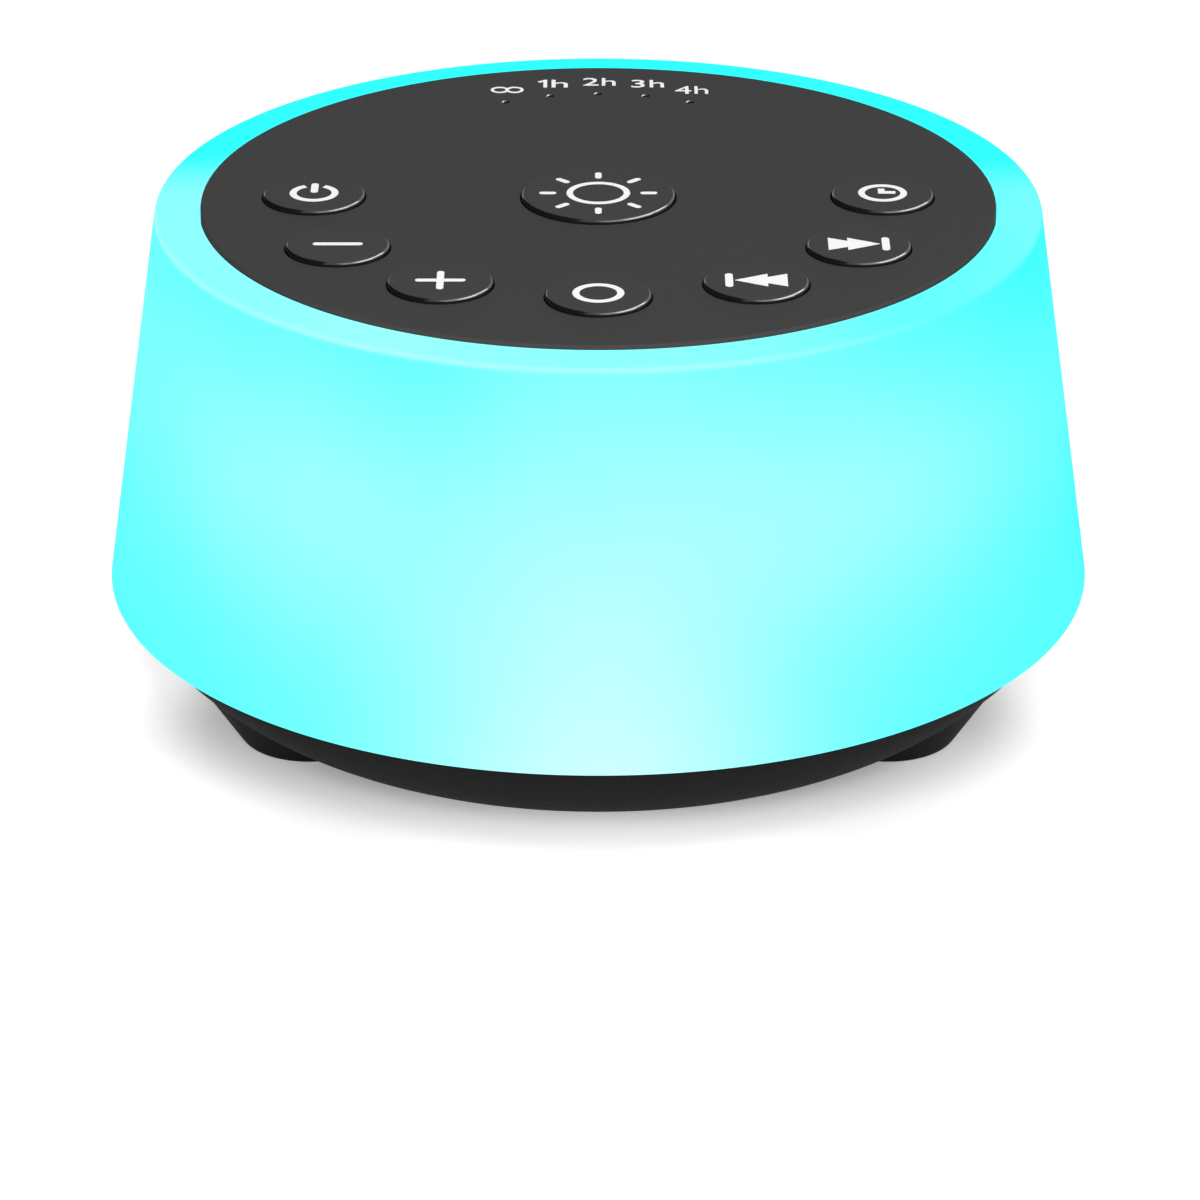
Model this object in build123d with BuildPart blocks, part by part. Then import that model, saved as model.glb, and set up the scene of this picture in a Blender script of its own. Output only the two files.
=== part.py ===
from build123d import *
from math import atan2, cos, degrees, hypot, radians, sin, sqrt, tan
import os

# White noise machine: a glowing tapered shell between a black button panel and a black bowl-shaped base.
# Millimetres, +Z up, the floor at z = 0 under the feet, the machine's front towards -Y.

# Glowing shell
shell_radius = 50.0  # outside, at the bottom edge
shell_bottom = 11.6  # height of the bottom edge above the floor
shell_height = 39.4  # bottom edge to the flat lip
shell_taper = 8.3  # degrees from the vertical
shell_wall = 2.0
shell_top_round = 0.65
shell_bottom_round = 0.25
lip_width = 4.55  # flat ring round the panel
ledge_width = 3.0  # what the panel rests on
ledge_thickness = 1.6

# Button panel
panel_thickness = 1.6
panel_proud = 0.4  # stands above the shell's lip
panel_edge_round = 0.25
panel_gap = 0.15
skirt_wall = 1.0
skirt_depth = 1.6
skirt_gap = 0.2

# Buttons: round caps held by a flange under the panel
button_radius = 5.1
light_button_radius = 7.7
button_gap = 0.15
button_rise = 0.5  # above the panel
button_edge_round = 0.35
button_travel = 0.3
flange_reach = 0.75  # past the edge of the hole
flange_thickness = 0.8
flange_gap = 0.05
stem_radius = 2.2
stem_length = 0.6
peg_radius = 0.45  # keeps a cap from turning
peg_gap = 0.3

# Places of the buttons: their distance from the panel's edge, and steps along their ring from the front one
button_inset = 11.3
shoulder_button_out = 0.75  # the two at the shoulders stand a little further out
front_button_in = 1.0  # and the one at the front further in
front_button_pitch = 16.0
corner_button_pitch = 14.09
side_button_pitch = 14.524

# Timer indicators, on an arc near the back of the panel
indicator_arc_radius = 19.3
indicator_inset = 8.5  # the middle one, from the panel's edge
indicator_step = 15.0  # degrees
indicator_count = 5
indicator_hole_radius = 0.55
indicator_pin_gap = 0.1
indicator_pin_sunk = 0.15
guide_web_width = 2.4
guide_web_thickness = 1.2
indicator_led_size = 1.6
indicator_led_height = 0.8
led_gap = 0.2

# Tactile switches
switch_width = 6.0
switch_height = 3.4
switch_corner_round = 0.5
plunger_radius = 1.7
plunger_gap = 0.1
plunger_rise = 0.8
plunger_depth = 1.2

# Control board and what is on it
board_gap = 2.65  # inside the panel's skirt
board_thickness = 1.6
chip_height = 1.6
chip_width = 4.0
sound_chip_length = 10.0
amplifier_chip_length = 5.0
chip_offset = 3.5
connector_length = 8.0
connector_width = 4.6
connector_height = 3.0

# Reflector core: carries both boards
core_wall = 1.6
core_draft = 2.4  # narrower at the top
core_edge_round = 1.5
core_gap = 0.4
deck_gap = 5.0  # from the deck to the control board
boss_radius = 3.0
boss_gap = 0.4  # from the middle button's flange
post_radius = 3.75
post_length = 13.0
post_inset = 2.0  # from the core's inner face

# Ring of lamps
light_gap = 10.4  # from the core to the shell
light_board_gap = 1.6
light_board_thickness = 1.2
led_count = 12
led_size = 5.0
led_height = 1.6
light_boss_radius = 2.4
light_boss_length = 3.0

# Bowl-shaped base
base_clearance = 1.5  # underside to the floor
base_wall = 2.0
base_flat_radius = 37.3
base_rim_inset = 1.2  # inside the shell's bottom edge
bowl_radius = 25.4  # of the rounded flank, in section
spigot_height = 2.4
spigot_wall = 1.8
spigot_gap = 0.3
base_boss_radius = 4.6
base_boss_height = 5.5
base_screw_seat = 2.5  # material between the screw's head and the core's post
head_room = 0.8

# Grille: rings of curved slots
grille_slot_width = 1.8
grille_ring_step = 3.6
grille_spoke = 2.2  # between the ends of neighbouring slots
grille_slot_count = 3  # in the first ring

# Feet
foot_ring = 33.4
foot_radius = 6.9
foot_flare = 33.0  # degrees from the vertical
foot_top = 6.0
foot_edge_round = 1.0
foot_stud_radius = 4.0
foot_stud_height = 0.9
foot_stud_gap = 0.1
foot_angles = {"rear": 90, "left": 210, "right": 330}

# Loudspeaker, facing down
speaker_room = 3.3  # between its rim and the screw bosses
gasket_width = 3.0
surround_thickness = 0.4
surround_lip = 2.6
roll_radius = 1.6
cone_lip = 1.0
cone_thickness = 0.5
cone_depth = 6.0
cone_travel = 0.8  # each way
cone_room = 0.4  # left under the cone at the end of its travel
frame_thickness = 1.0
frame_flange = 2.6
frame_depth = 8.4
frame_shoulder = 1.5  # round the magnet
frame_window_width = 15.0
frame_window_count = 4
spider_thickness = 0.4
spider_wave = 0.5
spider_radius = 15.0
dust_cap_radius = 8.6
dust_cap_depth = 1.6
pole_radius = 6.6
coil_gap = 0.3
coil_wall = 0.4
coil_depth = 4.0  # into the magnet's gap
top_plate_radius = 15.0
top_plate_thickness = 3.0
magnet_radius = 16.0
magnet_hole_radius = 9.5
magnet_thickness = 6.0
yoke_thickness = 3.0
locating_ring_gap = 0.25
locating_ring_wall = 1.2
locating_ring_height = 1.6
speaker_screw_count = 4
speaker_boss_radius = 2.2
speaker_boss_gap = 0.2

# Power inlet at the back of the base
pocket_width = 14.0
pocket_height = 7.2
pocket_wall = 1.6
pocket_roof = 1.2
socket_width = 8.94
socket_height = 3.26
socket_length = 7.35
socket_wall = 0.3
socket_gap = 0.15
tongue_width = 6.7
tongue_thickness = 0.7
tongue_length = 4.5
power_board_width = 15.0
power_board_length = 9.15
power_board_thickness = 1.6
power_board_gap = 0.4
power_board_lift = 0.28  # clear of the bowl's inside
power_pad_radius = 2.2
power_screw_spread = 10.4

# Leads
lead_thickness = 1.2
twin_lead_width = 2.4
light_lead_width = 4.8
lead_bend = 3.0
lead_climb = 5.0  # from the ring of lamps up to the slot in the core
lead_inset = 5.0  # from the core's inner face
lead_slot_room = 1.0
power_lead_angle = 90.0
speaker_lead_angle = 15.0
light_lead_angle = 165.0

# Screws
screw_radius = 1.25
screw_head_radius = 2.4
screw_head_height = 1.6
small_screw_radius = 0.8
small_screw_head_radius = 1.7
small_screw_head_height = 1.1
screw_hole_gap = 0.2
thread_gap = 0.05
screw_bite = 4.5
small_screw_bite = 1.5
cross_width = 0.6
cross_depth = 0.7
rear_panel_screw_turn = 30.0  # degrees either side of the back
speaker_screw_start = 45.0
base_screw_count = 3
base_screw_start = 30.0
light_screw_start = 15.0

# Heights, from the panel down to the deck
shell_top = shell_bottom + shell_height
panel_top = shell_top + panel_proud
panel_bottom = panel_top - panel_thickness
cap_top = panel_top + button_rise
flange_top = panel_bottom - flange_gap
flange_bottom = flange_top - flange_thickness
stem_bottom = flange_bottom - stem_length
switch_top = stem_bottom - plunger_rise
board_top = switch_top - switch_height
board_bottom = board_top - board_thickness
deck_top = board_bottom - deck_gap
deck_bottom = deck_top - core_wall
connector_bottom = board_bottom - connector_height

# Heights, from the underside up to the lamps
floor_top = base_clearance + base_wall
spigot_top = shell_bottom + spigot_height
core_flange_top = spigot_top + core_wall
light_board_top = core_flange_top + light_board_thickness
base_boss_top = floor_top + base_boss_height

# Heights of the loudspeaker, from the grille up
gasket_thickness = cone_travel + cone_room
gasket_top = floor_top + gasket_thickness
surround_top = gasket_top + surround_thickness
frame_flange_top = surround_top + frame_thickness
frame_back = frame_flange_top + frame_depth
top_plate_top = frame_back + top_plate_thickness
magnet_top = top_plate_top + magnet_thickness
cone_edge = surround_top
cone_neck = cone_edge + cone_depth

slope = tan(radians(shell_taper))
slant_wall = shell_wall / cos(radians(shell_taper))


def shell_outside(height):
    """Outer radius of the shell at a height."""
    return shell_radius - (height - shell_bottom) * slope


def shell_inside(height):
    """Inner radius of the shell at a height."""
    return shell_outside(height) - slant_wall


# Radii under the panel, from the shell's lip inwards
panel_radius = shell_outside(shell_top) - lip_width
opening_radius = panel_radius + panel_gap - ledge_width
skirt_radius = opening_radius - skirt_gap
board_radius = skirt_radius - skirt_wall - board_gap
button_ring = panel_radius - button_inset
shoulder_button_ring = button_ring + shoulder_button_out
front_button_ring = button_ring - front_button_in
indicator_arc_centre = panel_radius - indicator_inset - indicator_arc_radius
panel_screw_ring = light_button_radius + button_gap + flange_reach + boss_gap + boss_radius

# Radii inside the shell, from its wall inwards to the loudspeaker
spigot_outer = shell_inside(spigot_top) - spigot_gap
spigot_inner = spigot_outer - spigot_wall
core_flange_radius = shell_inside(core_flange_top) - core_gap
core_bottom_radius = shell_inside(core_flange_top) - light_gap
core_top_radius = core_bottom_radius - core_draft
light_board_inner = core_bottom_radius + light_board_gap
light_board_outer = core_flange_radius - light_board_gap
light_board_middle = (light_board_inner + light_board_outer) / 2
lead_ring = core_top_radius - core_wall - lead_inset
base_screw_ring = core_bottom_radius - core_wall - post_inset
base_rim_radius = shell_radius - base_rim_inset
speaker_radius = base_screw_ring - base_boss_radius - speaker_room

# Radii of the loudspeaker
coil_inner = pole_radius + coil_gap
coil_outer = coil_inner + coil_wall
plate_hole_radius = coil_outer + coil_gap
frame_inner = speaker_radius - frame_flange
frame_back_radius = magnet_radius + frame_shoulder
cone_radius = frame_inner - 2 * roll_radius
locating_ring_inner = speaker_radius + locating_ring_gap
locating_ring_outer = locating_ring_inner + locating_ring_wall
speaker_screw_ring = speaker_radius + speaker_boss_radius + speaker_boss_gap
grille_ring_count = int((speaker_radius - gasket_width) / grille_ring_step)

# Middle of the bowl's round flank: level with two points of it, one bowl radius from both
flank_run = base_rim_radius - base_flat_radius
flank_climb = shell_bottom - base_clearance
flank_chord = hypot(flank_run, flank_climb)
flank_rise = sqrt(bowl_radius**2 - (flank_chord / 2) ** 2)
bowl_centre_radius = (base_rim_radius + base_flat_radius) / 2 - flank_rise * flank_climb / flank_chord
bowl_centre_height = (shell_bottom + base_clearance) / 2 + flank_rise * flank_run / flank_chord
inner_reach = bowl_radius - base_wall


def flank_height(radius, reach):
    """Height of the bowl's flank at a radius, for the outside or the inside arc."""
    return bowl_centre_height - sqrt(reach**2 - (radius - bowl_centre_radius) ** 2)


def flank_radius(height, reach):
    """Radius of the bowl's flank at a height, for the outside or the inside arc."""
    return bowl_centre_radius + sqrt(reach**2 - (bowl_centre_height - height) ** 2)


def flank_arc(start, end, reach):
    """Arc of the bowl's flank between two of its points."""
    turns = [atan2(z - bowl_centre_height, r - bowl_centre_radius) for r, z in (start, end)]
    middle_turn = sum(turns) / 2
    middle_radius = bowl_centre_radius + reach * cos(middle_turn)
    middle_height = bowl_centre_height + reach * sin(middle_turn)
    ThreePointArc(start, (middle_radius, middle_height), end)


def on_circle(radius, angle):
    """Point on a circle about the machine's axis."""
    return (radius * cos(radians(angle)), radius * sin(radians(angle)))


def upright_plane(angle):
    """Plane through the machine's axis, its first direction outwards and its second upwards."""
    x, y = on_circle(1, angle)
    return Plane(origin=(0, 0, 0), x_dir=(x, y, 0), z_dir=(y, -x, 0))


def save(part, name):
    """Name a finished piece and write it."""
    part.label = name
    export_step(part, f"parts/{name}.step")


def make_screw(radius, length, head_radius, head_height):
    """Pan-head screw with its head on z = 0 and its shank downwards."""
    with BuildPart() as screw:
        Cylinder(radius, length, align=(Align.CENTER, Align.CENTER, Align.MAX))
        Cylinder(head_radius, head_height, align=(Align.CENTER, Align.CENTER, Align.MIN))
        fillet(screw.edges().sort_by(Axis.Z)[-1], head_height / 2)
        with Locations((0, 0, head_height)):
            for turn in (0, 90):
                Box(
                    head_radius,
                    cross_width,
                    cross_depth * 2,
                    rotation=(0, 0, turn),
                    mode=Mode.SUBTRACT,
                )
    return screw.part


def make_lead(points, angle, width):
    """Flat lead along points given as radius and height, in an upright plane through the axis."""
    with BuildPart() as lead:
        with BuildSketch(upright_plane(angle)):
            with BuildLine():
                FilletPolyline(*points, radius=lead_bend)
            trace(line_width=lead_thickness)
        extrude(amount=width / 2, both=True)
    return lead.part


# Power inlet: its board stands beside the loudspeaker, clear of the bowl's inside
power_board_front = locating_ring_outer + power_board_gap
power_board_back = power_board_front + power_board_length
power_board_corner = hypot(power_board_back, power_board_width / 2)
power_board_bottom = max(floor_top, flank_height(power_board_corner, inner_reach)) + power_board_lift
power_board_top = power_board_bottom + power_board_thickness
power_screw_row = power_board_front + power_pad_radius
pocket_back = power_board_back + power_board_gap + pocket_wall
inlet_height = power_board_top + socket_height / 2

# Buttons, counted along their ring from the front one to both sides
corner_button_turn = degrees(front_button_pitch / button_ring)
shoulder_button_turn = corner_button_turn + degrees(corner_button_pitch / button_ring)
side_button_turn = shoulder_button_turn + degrees(side_button_pitch / button_ring)
button_centres = {
    "power": on_circle(button_ring, 270 - side_button_turn),
    "volume_down": on_circle(shoulder_button_ring, 270 - shoulder_button_turn),
    "volume_up": on_circle(button_ring, 270 - corner_button_turn),
    "play": on_circle(front_button_ring, 270),
    "previous": on_circle(button_ring, 270 + corner_button_turn),
    "next": on_circle(shoulder_button_ring, 270 + shoulder_button_turn),
    "timer": on_circle(button_ring, 270 + side_button_turn),
    "light": (0, 0),
}
button_radii = {name: button_radius for name in button_centres}
button_radii["light"] = light_button_radius

first_indicator = 90 - indicator_step * (indicator_count - 1) / 2
indicator_places = PolarLocations(
    indicator_arc_radius,
    indicator_count,
    start_angle=first_indicator,
    angular_range=indicator_step * (indicator_count - 1),
    endpoint=True,
    rotate=False,
)
indicator_centres = [
    (place.position.X, place.position.Y + indicator_arc_centre) for place in indicator_places.local_locations
]

# Panel screws: two at the back, and two at the front between the play button and its neighbours
panel_screw_places = [
    on_circle(panel_screw_ring, angle)
    for angle in (
        90 - rear_panel_screw_turn,
        90 + rear_panel_screw_turn,
        270 - corner_button_turn / 2,
        270 + corner_button_turn / 2,
    )
]

os.makedirs("parts", exist_ok=True)

# Glowing shell
with BuildPart() as diffuser_shell:
    with BuildSketch(Plane.XZ):
        with BuildLine():
            Polyline(
                (shell_radius, shell_bottom),
                (shell_outside(shell_top), shell_top),
                (panel_radius + panel_gap, shell_top),
                (panel_radius + panel_gap, panel_bottom),
                (opening_radius, panel_bottom),
                (opening_radius, panel_bottom - ledge_thickness),
                (shell_inside(panel_bottom - ledge_thickness), panel_bottom - ledge_thickness),
                (shell_inside(shell_bottom), shell_bottom),
                close=True,
            )
        make_face()
    revolve(axis=Axis.Z)
    outer_edges = diffuser_shell.edges().filter_by(GeomType.CIRCLE).sort_by(SortBy.RADIUS)
    fillet(outer_edges[-1], shell_bottom_round)
    lip_edges = diffuser_shell.edges().group_by(Axis.Z)[-1]
    fillet(lip_edges.sort_by(SortBy.RADIUS)[-1], shell_top_round)
save(diffuser_shell.part, "diffuser_shell")

# Button panel: a disc with a locating skirt, screw bosses and a peg beside each button hole
with BuildPart() as top_panel:
    with BuildSketch(Plane.XY.offset(panel_bottom)):
        Circle(panel_radius)
    extrude(amount=panel_thickness)
    fillet(top_panel.edges().sort_by(Axis.Z)[-1], panel_edge_round)
    with BuildSketch(Plane.XY.offset(panel_bottom)):
        Circle(skirt_radius)
        Circle(skirt_radius - skirt_wall, mode=Mode.SUBTRACT)
    extrude(amount=-skirt_depth)
    with BuildSketch(Plane.XY.offset(board_top)):
        with Locations(*panel_screw_places):
            Circle(boss_radius)
    extrude(amount=panel_bottom - board_top)
    with BuildSketch(Plane.XY.offset(board_top)):
        with Locations(*panel_screw_places):
            Circle(screw_radius + thread_gap)
    extrude(amount=screw_bite + screw_hole_gap, mode=Mode.SUBTRACT)
    for name, (x, y) in button_centres.items():
        hole_radius = button_radii[name] + button_gap
        with BuildSketch(Plane.XY.offset(panel_bottom)):
            with Locations((x, y)):
                Circle(hole_radius)
        extrude(amount=panel_thickness, mode=Mode.SUBTRACT)
        with BuildSketch(Plane.XY.offset(panel_bottom)):
            with Locations((x, y + hole_radius + flange_reach)):
                Circle(peg_radius)
        extrude(amount=-(flange_gap + flange_thickness + button_travel))
    with BuildSketch(Plane.XY.offset(panel_bottom)):
        with Locations(*indicator_centres):
            Circle(indicator_hole_radius)
    extrude(amount=panel_thickness, mode=Mode.SUBTRACT)
save(top_panel.part, "top_panel")

# Buttons, each with the switch plunger that it pushes
for name, (x, y) in button_centres.items():
    flange_radius = button_radii[name] + button_gap + flange_reach
    with BuildPart() as button:
        with BuildSketch(Plane.XY.offset(flange_bottom)):
            with Locations((x, y)):
                Circle(flange_radius)
            with Locations((x, y + flange_radius)):
                Circle(peg_radius + peg_gap, mode=Mode.SUBTRACT)
        extrude(amount=flange_thickness)
        with BuildSketch(Plane.XY.offset(flange_top)):
            with Locations((x, y)):
                Circle(button_radii[name])
        extrude(amount=cap_top - flange_top)
        fillet(button.edges().sort_by(Axis.Z)[-1], button_edge_round)
        with BuildSketch(Plane.XY.offset(stem_bottom)):
            with Locations((x, y)):
                Circle(stem_radius)
        extrude(amount=stem_length)
    save(button.part, f"{name}_button")

    with BuildPart() as plunger:
        with BuildSketch(Plane.XY.offset(switch_top - plunger_depth)):
            with Locations((x, y)):
                Circle(plunger_radius)
        extrude(amount=plunger_depth + plunger_rise)
    save(plunger.part, f"{name}_plunger")

with BuildPart() as switch_bodies:
    with BuildSketch(Plane.XY.offset(board_top)):
        with Locations(*button_centres.values()):
            RectangleRounded(switch_width, switch_width, switch_corner_round)
    extrude(amount=switch_height)
    with BuildSketch(Plane.XY.offset(switch_top)):
        with Locations(*button_centres.values()):
            Circle(plunger_radius + plunger_gap)
    extrude(amount=-(plunger_depth + button_travel + plunger_gap), mode=Mode.SUBTRACT)
save(switch_bodies.part, "switch_bodies")

# Control board, its chips, its connectors and the timer indicators
with BuildPart() as control_board:
    with BuildSketch(Plane.XY.offset(board_bottom)):
        Circle(board_radius)
        with Locations(*panel_screw_places):
            Circle(screw_radius + screw_hole_gap, mode=Mode.SUBTRACT)
    extrude(amount=board_thickness)
save(control_board.part, "control_board")

for name, length, side in (("sound", sound_chip_length, -1), ("amplifier", amplifier_chip_length, 1)):
    with BuildPart() as chip:
        with BuildSketch(Plane.XY.offset(board_bottom)):
            with Locations((0, side * chip_offset)):
                Rectangle(length, chip_width)
        extrude(amount=-chip_height)
        chamfer(chip.edges().group_by(Axis.Z)[0], chip_height / 4)
    save(chip.part, f"{name}_chip")

with BuildPart() as board_connectors:
    for angle in (power_lead_angle, speaker_lead_angle, light_lead_angle):
        with BuildSketch(Plane.XY.offset(board_bottom)):
            with Locations(Location((*on_circle(lead_ring, angle), 0), (0, 0, angle))):
                Rectangle(connector_width, connector_length)
        extrude(amount=-connector_height)
save(board_connectors.part, "board_connectors")

with BuildPart() as indicator_leds:
    with BuildSketch(Plane.XY.offset(board_top)):
        with Locations(*indicator_centres):
            Rectangle(indicator_led_size, indicator_led_size / 2)
    extrude(amount=indicator_led_height)
save(indicator_leds.part, "indicator_leds")

with BuildPart() as indicator_light_guide:
    pin_bottom = board_top + indicator_led_height + led_gap
    with BuildSketch(Plane.XY.offset(panel_bottom)):
        with Locations((0, indicator_arc_centre)):
            guide_line = CenterArc(
                (0, 0),
                indicator_arc_radius,
                first_indicator,
                indicator_step * (indicator_count - 1),
                mode=Mode.PRIVATE,
            )
            SlotArc(guide_line, guide_web_width)
    extrude(amount=-guide_web_thickness)
    with BuildSketch(Plane.XY.offset(pin_bottom)):
        with Locations(*indicator_centres):
            Circle(indicator_hole_radius - indicator_pin_gap)
    extrude(amount=panel_top - indicator_pin_sunk - pin_bottom)
save(indicator_light_guide.part, "indicator_light_guide")

# Reflector core: a tapered cup, open below, with a flange for the lamps and posts for the screws
with BuildPart() as reflector_core:
    with BuildSketch(Plane.XZ):
        with BuildLine():
            Polyline(
                (core_bottom_radius - core_wall, spigot_top),
                (core_flange_radius, spigot_top),
                (core_flange_radius, core_flange_top),
                (core_bottom_radius, core_flange_top),
                (core_top_radius, deck_top),
                (0, deck_top),
                (0, deck_bottom),
                (core_top_radius - core_wall, deck_bottom),
                close=True,
            )
        make_face()
    revolve(axis=Axis.Z)
    deck_edge = reflector_core.edges().filter_by(GeomType.CIRCLE).group_by(Axis.Z)[-1]
    fillet(deck_edge, core_edge_round)
    with BuildSketch(Plane.XY.offset(deck_top)):
        with Locations(*panel_screw_places):
            Circle(boss_radius)
    extrude(amount=deck_gap)
    with BuildSketch(Plane.XY.offset(deck_bottom)):
        with Locations(*panel_screw_places):
            Circle(screw_radius + screw_hole_gap)
    extrude(amount=core_wall + deck_gap, mode=Mode.SUBTRACT)
    with BuildSketch(Plane.XY.offset(base_boss_top)):
        with PolarLocations(base_screw_ring, base_screw_count, start_angle=base_screw_start):
            Circle(post_radius)
    extrude(amount=post_length)
    with BuildSketch(Plane.XY.offset(base_boss_top)):
        with PolarLocations(base_screw_ring, base_screw_count, start_angle=base_screw_start):
            Circle(screw_radius + thread_gap)
    extrude(amount=screw_bite + screw_hole_gap, mode=Mode.SUBTRACT)
    with BuildSketch(Plane.XY.offset(spigot_top)):
        with PolarLocations(light_board_middle, base_screw_count, start_angle=light_screw_start):
            Circle(light_boss_radius)
    extrude(amount=-light_boss_length)
    with BuildSketch(Plane.XY.offset(core_flange_top)):
        with PolarLocations(light_board_middle, base_screw_count, start_angle=light_screw_start):
            Circle(small_screw_radius + thread_gap)
    extrude(amount=-(small_screw_bite + core_wall), mode=Mode.SUBTRACT)
    for angle in (power_lead_angle, speaker_lead_angle, light_lead_angle):
        with BuildSketch(Plane.XY.offset(deck_bottom)):
            with Locations(Location((*on_circle(lead_ring, angle), 0), (0, 0, angle))):
                Rectangle(lead_thickness + 2 * lead_slot_room, light_lead_width + 2 * lead_slot_room)
        extrude(amount=core_wall, mode=Mode.SUBTRACT)
    with BuildSketch(upright_plane(light_lead_angle)):
        with Locations((core_bottom_radius, light_board_top + lead_climb)):
            Rectangle(4 * core_wall, lead_thickness + 4 * lead_slot_room)
    extrude(amount=light_lead_width / 2 + lead_slot_room, both=True, mode=Mode.SUBTRACT)
save(reflector_core.part, "reflector_core")

# Ring of lamps
with BuildPart() as light_board:
    with BuildSketch(Plane.XY.offset(core_flange_top)):
        Circle(light_board_outer)
        Circle(light_board_inner, mode=Mode.SUBTRACT)
        with PolarLocations(light_board_middle, base_screw_count, start_angle=light_screw_start):
            Circle(small_screw_radius + screw_hole_gap, mode=Mode.SUBTRACT)
    extrude(amount=light_board_thickness)
save(light_board.part, "light_board")

with BuildPart() as night_light_leds:
    with BuildSketch(Plane.XY.offset(light_board_top)):
        with PolarLocations(light_board_middle, led_count):
            Rectangle(led_size, led_size)
    extrude(amount=led_height)
save(night_light_leds.part, "night_light_leds")

# Outer form of the base: a shallow bowl with a flat underside and a spigot inside the shell
with BuildPart() as base_form:
    with BuildSketch(Plane.XZ):
        with BuildLine():
            Polyline((0, spigot_top), (0, base_clearance), (base_flat_radius, base_clearance))
            flank_arc((base_flat_radius, base_clearance), (base_rim_radius, shell_bottom), bowl_radius)
            Polyline(
                (base_rim_radius, shell_bottom),
                (spigot_outer, shell_bottom),
                (spigot_outer, spigot_top),
                (0, spigot_top),
            )
        make_face()
    revolve(axis=Axis.Z)

# Hollow of the base, less the walls of the inlet's pocket
with BuildPart() as base_hollow:
    inner_flat_radius = flank_radius(floor_top, inner_reach)
    inner_flank_top = flank_height(spigot_inner, inner_reach)
    with BuildSketch(Plane.XZ):
        with BuildLine():
            Polyline((0, spigot_top), (0, floor_top), (inner_flat_radius, floor_top))
            flank_arc((inner_flat_radius, floor_top), (spigot_inner, inner_flank_top), inner_reach)
            Polyline((spigot_inner, inner_flank_top), (spigot_inner, spigot_top), (0, spigot_top))
        make_face()
    revolve(axis=Axis.Z)
    with BuildSketch(Plane.XZ.offset(-(pocket_back - pocket_wall))):
        with Locations((0, inlet_height + pocket_roof / 2)):
            Rectangle(pocket_width + 2 * pocket_wall, pocket_height + pocket_roof)
        with Locations((0, inlet_height)):
            Rectangle(pocket_width + 2 * pocket_wall, 2 * inlet_height, align=(Align.CENTER, Align.MAX))
    extrude(amount=-shell_radius, mode=Mode.SUBTRACT)

# Way in for the plug: the pocket, and on outwards past the rear foot
with BuildPart() as plug_way:
    with BuildSketch(Plane.XZ.offset(-pocket_back)):
        with Locations((0, inlet_height)):
            Rectangle(pocket_width, pocket_height)
    extrude(amount=-shell_radius)

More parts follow.
